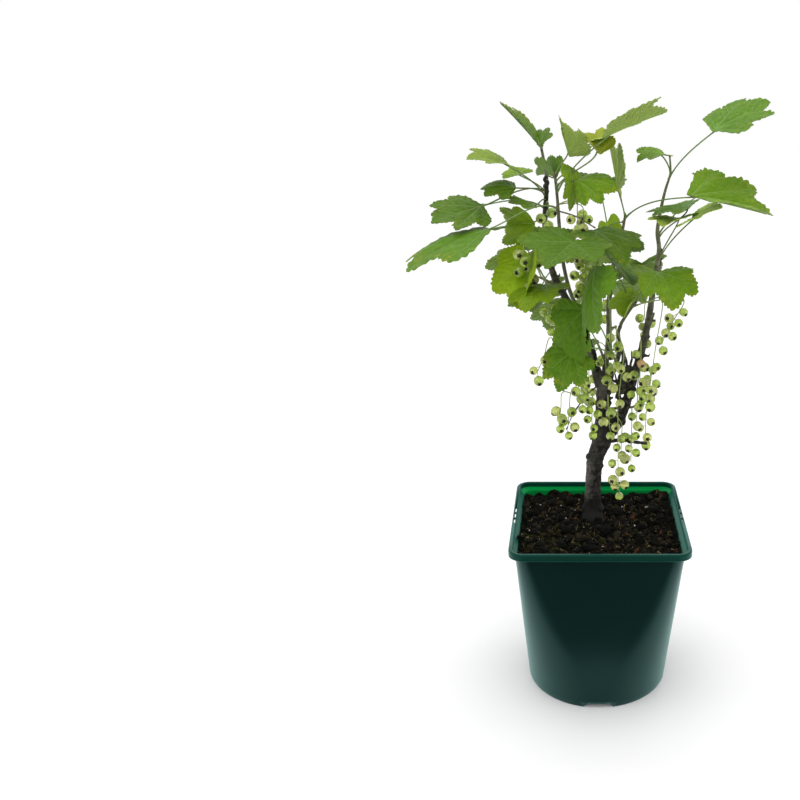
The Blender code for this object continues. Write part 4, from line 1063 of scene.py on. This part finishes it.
class Mass:
    """One mass of foliage or fruit: it deals its shoots, stalks, blades and fruit to their heaps."""

    def __init__(self, name, stem, seed, bark="green", bark_share=1.0):
        self.name = name
        self.stem = stem
        self.random = random.Random(seed)
        self.chance = random.Random(seed + 500)
        self.leaves = gather()
        self.leaves["margin"] = []
        self.bark = SHOOT_BARKS[bark]
        self.seed = seed
        self.number = 0
        route = finer(stem, 4)
        change = round(len(route) * bark_share)
        heap_on(shoot_heap, *tube_mesh(route[:change + 1], 12), self.bark)
        if change < len(route):
            heap_on(shoot_heap, *tube_mesh(route[change:], 12), SHOOT_BARKS["grey"])
        tip, radius = stem[-1]
        self.bud(tip, (tip - stem[-2][0]).normalized(), radius * 1.15)

    def bud(self, place, heading, radius):
        """A pointed winter bud in the angle over a leaf stalk, or at the shoot's tip."""
        turn = np.array(heading.to_track_quat("Z", "Y").to_matrix())
        form = bud_form * np.array((1, 0.85, 2.1))
        form[:, :2] *= np.clip(1.15 - 0.45 * np.clip(form[:, 2:], 0, 3), 0.2, 1.2)
        heap_on(shoot_heap, form * radius @ turn.T + np.array(place + heading * radius), bud_faces, 1)

    def knot(self, at, size, bark=None, aside=0.0):
        """A lump of a shoot's bark, in mm across, where a leaf or an old fruit stalk leaves it."""
        centre, _, along = station(self.stem[1:] if len(self.stem) > 3 else self.stem, at)
        turn = np.array(along.to_track_quat("Z", "Y").to_matrix())
        heap_on(shoot_heap, knot_form * np.array((1, 0.9, 1.25)) * size * 0.0005 @ turn.T
                + np.array(centre + Vector((aside * 0.001, 0, 0))),
                knot_faces, self.bark if bark is None else SHOOT_BARKS[bark])

    def bare_twig(self, at, end, radius):
        """A leafless side twig with a bud on its end."""
        start = station(self.stem[1:] if len(self.stem) > 3 else self.stem, at)[0]
        end = Vector(mm(*end))
        middle = start.lerp(end, 0.5) + Vector((0, 0, (end - start).length * 0.06))
        path = [(start, radius * 0.0012), (middle, radius * 0.001), (end, radius * 0.0009)]
        heap_on(shoot_heap, *tube_mesh(finer(path, 4), 8), self.bark)
        self.bud(end, (end - middle).normalized(), radius * 0.0013)

    def leaf(self, at, joint, attitude, size, fold=10, droop=20, spread=0.95, tint="mid"):
        start, radius, _ = station(self.stem[1:] if len(self.stem) > 3 else self.stem, at)
        self.knot(at, radius * 2400)
        place = Vector(mm(*joint))
        path = petiole_path(start, place, attitude)
        heap_on(stalk_heap, *tube_mesh(path, 8))
        away = (path[2][0] - start).normalized()
        up = (away + Vector((0, 0, 0.9))).normalized()
        self.bud(start + up * 0.0012, up, 0.00075)
        self.number += 1
        blade = Blade(place, attitude, size * 0.001, fold, droop, spread, self.seed * 100 + self.number)
        blade.faces_on(self.leaves, 3 * LEAF_TINTS.index(tint))
        blade.veins_on(self.leaves, 3 * LEAF_TINTS.index(tint) + 2)

    def strig(self, at, knee, drop, berries, drift=(0, 0), first=0.25):
        start = station(self.stem[1:] if len(self.stem) > 3 else self.stem, at)[0]
        path = strig_path(start, Vector(mm(*knee)), drop * 0.001, mm(*drift))
        route = finer(path, 5)
        heap_on(strig_heap, *tube_mesh(route, 6))
        turn = self.random.uniform(0, math.tau)
        top, bottom = path[2][0], path[-1][0]
        count = max(1, round(berries * 1.3))
        for number in range(count):
            share = first + (1 - first) * (number + 1) / count if count > 1 else 1.0
            anchor = top.lerp(bottom, min(share, 0.985))
            out = Vector((math.cos(turn), math.sin(turn), -0.35)).normalized()
            if number == count - 1:
                out = Vector((0.15, -0.2, -1)).normalized()
            size = BERRY_RADIUS * self.random.uniform(0.80, 1.04)
            self.berry(anchor, out, size)
            turn += GOLDEN_TURN

    def berry(self, anchor, out, size):
        """One fruit: its little stalk, the ribbed ball and the withered flower on its far end."""
        centre = anchor + out * (size + PEDICEL * self.chance.uniform(0.3, 0.8)) - Vector((0, 0, PEDICEL * 0.5))
        outer_side = -1 if centre.y < 0.035 else 1
        turned = Vector((self.chance.uniform(-0.8, 0.8), outer_side * self.chance.uniform(1.2, 3.0),
                         self.chance.uniform(-1.0, 0.6)))
        face_way = (out * 0.8 + turned).normalized()
        root = centre - face_way * size
        bow = anchor.lerp(root, 0.5) + out * 0.0006
        heap_on(strig_heap, *tube_mesh([(anchor, 0.00030), (bow, 0.00028), (root, 0.0004)], 5))
        turn = np.array(face_way.to_track_quat("Z", "Y").to_matrix())
        shade = self.chance.randrange(3)
        if (centre - BLUSHED_BERRY).length < 0.002:
            shade = 3
        heap_on(berry_heap, berry_form * size @ turn.T + np.array(centre), berry_faces, shade)
        tuft = calyx_form * np.array((1, 1, self.chance.uniform(0.7, 1.3)))
        heap_on(calyx_heap, tuft * size @ turn.T + np.array(centre + face_way * size * 0.97), calyx_faces)

    def finish(self, _=None):
        """Sets the mass's blades down as one piece, which stands for the mass's CAD solid."""
        if self.leaves["count"]:
            piece = joined(self.name + "_leaves", self.leaves, *leaf_finishes, smooth=70)
            margin = piece.data.attributes.new("margin", "FLOAT", "POINT")
            margin.data.foreach_set("value", self.leaves["margin"])
            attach(piece, "root")
            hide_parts(self.name)


berry_form, berry_faces = small_solid(bmesh.ops.create_uvsphere, u_segments=24, v_segments=14, radius=1.0)
polar = np.arctan2(berry_form[:, 1], berry_form[:, 0])
round_share = np.hypot(berry_form[:, 0], berry_form[:, 1])
berry_form *= (1 + 0.012 * round_share * np.cos(12 * polar))[:, None]
berry_form[:, 2] *= 1.03
calyx_points, calyx_faces = [], []
for lobe in range(5):
    turn = math.tau * lobe / 5
    ends = [(0.0, 0.0, -0.12)]
    for side, reach, height in ((-0.55, 0.36, 0.00), (0.0, 0.50, 0.08), (0.55, 0.36, 0.00), (0.0, 0.14, 0.26)):
        ends.append((reach * math.cos(turn + side), reach * math.sin(turn + side), height))
    base = len(calyx_points)
    calyx_points += ends
    calyx_faces += [(base, base + 2, base + 1), (base, base + 3, base + 2), (base, base + 1, base + 4),
                    (base, base + 4, base + 3), (base + 1, base + 2, base + 4), (base + 2, base + 3, base + 4)]
dried_disc, dried_faces = small_solid(bmesh.ops.create_icosphere, subdivisions=1, radius=0.25)
calyx_faces += [tuple(corner + len(calyx_points) for corner in face) for face in dried_faces]
calyx_form = np.array(calyx_points + [(x, y, 0.4 * z) for x, y, z in dried_disc])


def build_left_top():
    stem = stem_on(paths["bough_left"], 64, ((0, 6, 0), (0.45, 3, 0), (0.65, -8, 0), (1, -12, 0)), 1.2)
    mass = Mass("foliage_left_top", stem, 21, bark="old", bark_share=0.66)
    mass.leaf(0.98, (-55, 12, 529), (-179, 50, -4), 53, 7, 4, 0.66, tint="deep")
    mass.leaf(1.0, (-55, 10, 530), (100, 25, 7), 26, 40, 3, 0.64, tint="deep")
    mass.leaf(0.43, (-84, 2, 514), (-144, 20, -16), 40, 6, 22, 0.73, tint="soft")
    mass.leaf(0.48, (-75, 30, 503), (108, 14, -12), 23, 0, 8, 0.78, tint="fresh")
    mass.leaf(0.45, (-77, -12, 495), (-177, 19, -21), 32, -10, 48, 0.65, tint="deep")
    mass.leaf(0.40, (-59, -2, 477), (172, 19, -3), 29, 0, 3, 0.62)
    mass.leaf(0.50, (-107, -8, 478), (-146, -9, -22), 49, 0, 3, 0.62, tint="deep")
    mass.leaf(0.67, (-41, 8, 502), (123, 13, 0), 33, 59, 21, 0.62, tint="cool")
    mass.leaf(0.30, (-126, 48, 470), (150, -16, 6), 40, 8, 20)
    for share, size, aside in ((0.64, 4.6, -1.2), (0.60, 5.4, 0.4), (0.56, 4.2, -1.4), (0.50, 4.0, 0.7), (0.36, 4.4, -0.6),
                               (0.24, 4.2, 0.6)):
        mass.knot(share, size, aside=aside)
    mass.strig(0.35, (-47, 5, 479), 12, 2, (-1, 0), 0.1)
    return mass.finish()


def build_fore_top():
    stem = stem_on(paths["bough_fore"], 30, ((0, 3, 180), (1, 8, 180)), 1.2)
    mass = Mass("foliage_fore_top", stem, 22)
    mass.leaf(1.0, (-29, 0, 522), (-101, 50, -38), 38, 30, 4, 0.62, tint="pale")
    mass.leaf(0.70, (-3, -12, 524), (128, 34, -1), 31, 39, 4, 0.78, tint="turning")
    mass.leaf(0.58, (3, -20, 538), (25, 22, -20), 62, 11, 5, 0.72, tint="pale")
    mass.leaf(0.75, (-21, -18, 501), (-29, 11, 42), 37, -27, 50, 0.65)
    mass.leaf(0.85, (-27, -4, 510), (-64, -67, -42), 37, 0, 28, 0.69, tint="fresh")
    mass.leaf(0.05, (-61, 4, 462), (139, -4, -94), 39, 44, 6, 0.83, tint="fresh")
    mass.leaf(0.20, (-100, -42, 462), (162, -5, -8), 86, -12, 29, 0.70, tint="cool")
    mass.strig(0.3, (-17, -6, 478), 19, 3, (2, 0), 0.2)
    mass.strig(0.3, (-22, -3, 481), 15, 2, (1, 0), 0.2)
    mass.bare_twig(0.1, (-7, -12, 461), 0.7)
    return mass.finish()


def build_centre_top():
    stem = stem_on(paths["bough_centre"], 46, ((0, 10, 0), (0.6, 17, 0), (1, 6, 0)), 1.2)
    mass = Mass("foliage_centre_top", stem, 23)
    mass.leaf(1.0, (15, 18, 493), (105, 56, 79), 44, 13, 3, 0.81, tint="pale")
    mass.leaf(0.6, (-5, -10, 457), (-48, -10, 1), 48, 0, 44, 0.82, tint="deep")
    mass.leaf(0.9, (7, 26, 458), (-6, -65, 32), 27, 8, 5, 0.93, tint="lime")
    mass.leaf(0.97, (78, -16, 488), (-6, -11, 15), 72, 20, 3, 0.63)
    return mass.finish()


def build_right_top():
    stem = stem_on(paths["bough_right"], 98, ((0, 9, 0), (0.4, 8, 340), (0.8, 16, 340), (1, 1, 0)), 0.8, 7)
    mass = Mass("foliage_right_top", stem, 24, bark="grey")
    mass.leaf(0.83, (100, 8, 543), (17, 26, 13), 57, 4, 3, 0.62, tint="cool")
    mass.leaf(0.89, (56, 22, 521), (-156, 8, -11), 27, 10, 40, 0.76)
    mass.leaf(0.32, (80, 6, 478), (158, -10, -6), 42, 0, 3, 0.76, tint="cool")
    # These two leaves get the brightest green, painted backlight for light shining through them.
    mass.leaf(0.12, (73, 20, 464), (-119, 1, 7), 39, 14, 8, 0.66, tint="painted_backlight")
    mass.leaf(0.08, (82, 2, 466), (-54, 26, 23), 36, 9, 15, 0.78, tint="painted_backlight")
    mass.leaf(0.35, (112, 58, 492), (50, -22, 8), 46, 8, 24, tint="cool")
    for share, size in ((0.03, 3.4), (0.06, 2.4), (0.09, 3.6), (0.13, 2.8), (0.16, 3.4), (0.20, 2.4), (0.23, 3.0)):
        mass.knot(share, size, bark="old", aside=2.0)
    return mass.finish()


def build_left_low():
    stem = spur_on(paths["bough_left"], 0.66, 62, 215, 16, 1.5)
    mass = Mass("foliage_left_low", stem, 25)
    mass.leaf(0.8, (-61, -20, 430), (-104, -45, 32), 51, 37, 10, 1.01, tint="lime")
    mass.leaf(0.9, (-49, -38, 413), (-121, -4, 6), 42, 4, 44, 0.77, tint="fresh")
    mass.strig(1.0, (-68, -35, 448), 29, 5, (3, 0), 0.0)
    mass.strig(1.0, (-62, -38, 443), 16, 2, (2, 0), 0.1)
    return mass.finish()


def build_middle():
    stem = spur_on(paths["bough_fore"], 0.80, 50, 290, 10, 1.2)
    mass = Mass("foliage_middle", stem, 26)
    mass.leaf(0.9, (-25, -44, 452), (-115, -11, -10), 54, 7, 5, 0.99, tint="deep")
    mass.strig(0.7, (-20, -10, 441), 46, 6, (4, 0), 0.1)
    mass.strig(0.6, (-13, -16, 444), 42, 4, (-2, 0), 0.0)
    return mass.finish()


def build_front():
    stem = spur_on(paths["bough_inner"], 0.75, 60, 250, 14, 1.4)
    mass = Mass("foliage_front", stem, 27)
    mass.leaf(1.0, (-7, -58, 430), (-175, -62, -3), 70, -11, 46, 0.86, tint="cool")
    mass.leaf(0.8, (-26, -46, 356), (-112, -41, -13), 41, 0, 16, 0.62, tint="cool")
    mass.leaf(0.9, (-15, -38, 392), (-107, -64, 38), 53, 26, 15, 0.85, tint="cool")
    return mass.finish()


def build_right():
    stem = stem_on(paths["bough_right_inner"], 26, ((0, 30, 330), (1, 40, 320)), 1.3, 3)
    mass = Mass("foliage_right", stem, 28)
    mass.leaf(1.0, (53, -6, 419), (-75, -6, -2), 49, 10, 66, 0.78)
    mass.leaf(0.8, (10, 9, 428), (-65, -22, -36), 42, 14, 3, 0.94, tint="cool")
    mass.leaf(0.6, (34, 12, 394), (-121, -24, 26), 33, 27, 9, 0.96, tint="lime")
    mass.strig(0.9, (77, -2, 393), 40, 6, (-19, 0), 0.1)
    mass.strig(0.8, (57, -4, 393), 88, 5, (-10, 0), 0.6)
    return mass.finish()


def build_back():
    """Leaves and a little fruit on the far side, on spurs that set off to the back."""
    stem = spur_on(paths["bough_left"], 0.62, 55, 110, 24, 1.5)
    mass = Mass("foliage_back_left", stem, 31)
    mass.leaf(0.5, (-72, 62, 424), (130, -34, 8), 46, 8, 24)
    mass.leaf(0.8, (-58, 80, 388), (110, -38, -8), 44, 8, 24)
    mass.leaf(1.0, (-46, 94, 438), (100, -36, 6), 44, 8, 24, tint="cool")
    mass.strig(0.8, (-50, 62, 384), 30, 4, (2, 3), 0.1)
    mass.finish()
    stem = spur_on(paths["bough_centre"], 0.80, 50, 80, 26, 1.5)
    mass = Mass("foliage_back_middle", stem, 32)
    mass.leaf(0.4, (-6, 66, 430), (96, -34, 4), 46, 8, 24, tint="fresh")
    mass.leaf(0.7, (14, 94, 434), (72, -30, -6), 46, 8, 24)
    mass.leaf(0.9, (19, 104, 388), (60, -38, 8), 44, 8, 24)
    mass.leaf(1.0, (-1, 76, 494), (100, -16, 8), 44, 8, 22, tint="cool")
    mass.strig(0.8, (4, 70, 400), 34, 4, (2, 3), 0.1)
    mass.finish()
    stem = spur_on(paths["bough_right"], 0.90, 55, 70, 20, 1.4)
    mass = Mass("foliage_back_right", stem, 33)
    mass.leaf(0.7, (62, 76, 402), (60, -32, 4), 46, 8, 24, tint="fresh")
    mass.leaf(1.0, (44, 92, 410), (100, -36, -6), 42, 8, 24)
    mass.strig(0.8, (46, 60, 374), 30, 4, (2, 2), 0.1)
    mass.finish()
    stem = spur_on(paths["bough_centre"], 0.22, 58, 110, 22, 1.4)
    mass = Mass("foliage_back_low", stem, 34)
    mass.leaf(0.6, (-30, 83, 370), (125, -36, 4), 46, 8, 24)
    mass.leaf(1.0, (-24, 64, 329), (105, -42, -4), 42, 8, 24, tint="cool")
    mass.strig(0.7, (-8, 58, 318), 36, 5, (-2, 2), 0.1)
    mass.strig(1.0, (8, 62, 330), 30, 4, (4, 3), 0.1)
    mass.finish()


def build_fruit():
    """Clusters of hanging fruit on short spurs of the old wood round the fork."""
    stem = spur_on(paths["bough_right"], 0.44, 70, 290, 9, 1.3)
    mass = Mass("fruit_right", stem, 41)
    mass.strig(0.6, (39, 8, 352), 43, 5, (0, 0), 0.1)
    mass.strig(1.0, (46, -20, 332), 28, 4, (0, 0), 0.2)
    mass.strig(0.8, (36, -4, 312), 34, 4, (0, 0), 0.0)
    mass.finish()
    stem = spur_on(paths["bough_right"], 0.20, 70, 300, 8, 1.3)
    mass = Mass("fruit_fork_right", stem, 42)
    mass.strig(0.7, (46, 12, 286), 34, 4, (0, 0), 0.0)
    mass.strig(0.9, (31, -8, 277), 42, 5, (0, 0), 0.1)
    mass.finish()
    stem = spur_on(paths["trunk"], 0.86, 72, 285, 9, 1.3)
    mass = Mass("fruit_fork", stem, 43)
    mass.strig(1.0, (17, -12, 288), 80, 6, (2, 0), 0.5)
    mass.strig(0.8, (8, -6, 302), 33, 5, (2, 0), 0.0)
    mass.strig(0.9, (22, 2, 270), 24, 3, (0, 0), 0.1)
    mass.finish()
    stem = spur_on(paths["bough_centre"], 0.50, 68, 300, 8, 1.2)
    mass = Mass("fruit_centre", stem, 44)
    mass.strig(0.8, (15, -4, 366), 27, 4, (0, 0), 0.0)
    mass.strig(1.0, (6, 8, 350), 29, 3, (0, 0), 0.1)
    mass.strig(0.9, (22, -12, 346), 42, 3, (-4, 0), 0.0)
    mass.finish()
    stem = spur_on(paths["trunk"], 0.88, 72, 215, 9, 1.3)
    mass = Mass("fruit_left", stem, 45)
    mass.strig(0.5, (-7, -8, 304), 34, 5, (0, 0), 0.0)
    mass.strig(0.8, (-17, -16, 322), 23, 4, (0, 0), 0.0)
    mass.strig(1.0, (-27, -4, 304), 34, 4, (-3, -4), 0.2)
    mass.strig(1.0, (-35, -12, 307), 29, 3, (-3, 0), 0.4)
    mass.strig(1.0, (-45, -20, 362), 33, 3, (-13, 0), 0.3)
    mass.finish()


for build in (build_fore_top, build_left_top, build_centre_top, build_right_top, build_left_low,
              build_middle, build_front, build_right, build_back, build_fruit):
    build()
shoots = joined("green_shoots", shoot_heap, shoot_green, bud_brown, old_shoot, grey_shoot)
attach(shoots, "root")
stalks = joined("leaf_stalks", stalk_heap, stalk_green)
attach(stalks, "root")


# White currants hang on thin green stalks: pale yellow-green, glossy and see-through, each with the
# brown withered flower still on its end.
berry_tints = {"berry_green": (0.44, 0.58, 0.09), "berry_pale_green": (0.51, 0.64, 0.13),
               "berry_cream": (0.60, 0.66, 0.20), "berry_blushed": (0.74, 0.50, 0.26)}
berry_finishes = []
for name, colour in berry_tints.items():
    finish, tree, shader = new_finish(name, Roughness=0.14, Transmission_Weight=0.55, Subsurface_Weight=0.6,
                                      Subsurface_Radius=(1.0, 1.0, 0.45), Subsurface_Scale=0.0035,
                                      Coat_Weight=0.25, Coat_Roughness=0.08)
    softer = tuple(min(1, value * 1.2) for value in colour)
    tree.links.new(two_colours(tree, patches(tree, 160, 0.4, 0.65), colour, softer), shader.inputs["Base Color"])
    berry_finishes.append(finish)
berries = joined("currant_berries", berry_heap, *berry_finishes)
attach(berries, "root")
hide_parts("fruit_right", "fruit_fork_right", "fruit_fork", "fruit_centre", "fruit_left")
strig_green, tree, shader = new_finish("fruit_stalk", Roughness=0.5)
tree.links.new(two_colours(tree, patches(tree, 60), (0.20, 0.30, 0.07), (0.28, 0.33, 0.10)),
               shader.inputs["Base Color"])
strigs = joined("fruit_stalks", strig_heap, strig_green)
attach(strigs, "root")
calyxes = joined("withered_flowers", calyx_heap, calyx_brown)
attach(calyxes, "root")


# The studio: a pale floor under a big soft box and an even white sky that darkens below the horizon.
# A dark card lies before the pot, seen only by its shine. None of it is part of the plant.
ROOM_DARK = 0.25
ROOM_BRIGHT = 1.25
shape = bmesh.new()
bmesh.ops.create_grid(shape, x_segments=1, y_segments=1, size=8.0)
floor_white, tree, shader = new_finish("studio_floor", Roughness=0.9)
tree.links.new(two_colours(tree, patches(tree, 3), (0.835, 0.835, 0.835), (0.845, 0.845, 0.845)),
               shader.inputs["Base Color"])
floor = settle("studio_floor", shape, floor_white)
shape = bmesh.new()
bmesh.ops.create_grid(shape, x_segments=1, y_segments=1, size=1.0)
bmesh.ops.scale(shape, verts=shape.verts, vec=(0.16, 0.345, 1))
bmesh.ops.translate(shape, verts=shape.verts, vec=(0, -0.485, 0.001))
card_black, tree, shader = new_finish("dark_card", Roughness=0.9)
tree.links.new(two_colours(tree, patches(tree, 3), (0.05, 0.05, 0.05), (0.06, 0.06, 0.06)),
               shader.inputs["Base Color"])
card = settle("dark_card", shape, card_black)
card.visible_camera = False
card.visible_diffuse = False
card.visible_shadow = False


def soft_box(name, place, aim, size, power):
    lamp = bpy.data.lights.new(name, "AREA")
    lamp.shape = "RECTANGLE"
    lamp.size, lamp.size_y = size
    lamp.energy = power
    box = bpy.data.objects.new(name, lamp)
    box.location = place
    box.rotation_euler = (Vector(aim) - Vector(place)).to_track_quat("-Z", "Y").to_euler()
    bpy.context.scene.collection.objects.link(box)


soft_box("box_overhead", (-0.1, 0.15, 1.9), (0, 0, 0.2), (1.2, 1.0), 11)
world = bpy.data.worlds.new("white_surround")
bpy.context.scene.world = world
world.use_nodes = True
tree = world.node_tree
light = tree.nodes["Background"]
light.inputs["Color"].default_value = (1, 1, 1, 1)
direction = tree.nodes.new("ShaderNodeTexCoord")
axes = tree.nodes.new("ShaderNodeSeparateXYZ")
tree.links.new(direction.outputs["Generated"], axes.inputs["Vector"])
ramp = tree.nodes.new("ShaderNodeMapRange")
ramp.interpolation_type = "SMOOTHSTEP"
for label, value in (("From Min", -0.2), ("From Max", 0.3), ("To Min", ROOM_DARK), ("To Max", ROOM_BRIGHT)):
    ramp.inputs[label].default_value = value
tree.links.new(axes.outputs["Z"], ramp.inputs["Value"])
tree.links.new(ramp.outputs["Result"], light.inputs["Strength"])
backdrop = tree.nodes.new("ShaderNodeBackground")
ray = tree.nodes.new("ShaderNodeLightPath")
choose = tree.nodes.new("ShaderNodeMixShader")
tree.links.new(ray.outputs["Is Camera Ray"], choose.inputs["Fac"])
tree.links.new(light.outputs["Background"], choose.inputs[1])
tree.links.new(backdrop.outputs["Background"], choose.inputs[2])
tree.links.new(choose.outputs["Shader"], tree.nodes["World Output"].inputs["Surface"])
backdrop.inputs["Color"].default_value = (1, 1, 1, 1)
bpy.context.scene.view_settings.view_transform = "Standard"

camera_data = bpy.data.cameras.new("camera")
camera_data.sensor_width = 36
camera_data.lens = 40.95
camera_data.shift_x = -0.21375
camera = bpy.data.objects.new("camera", camera_data)
camera.location = (-0.027, -0.826, 0.567)
camera.rotation_euler = (math.radians(90 - 18.19), 0, 0)
bpy.context.scene.collection.objects.link(camera)
bpy.context.scene.camera = camera
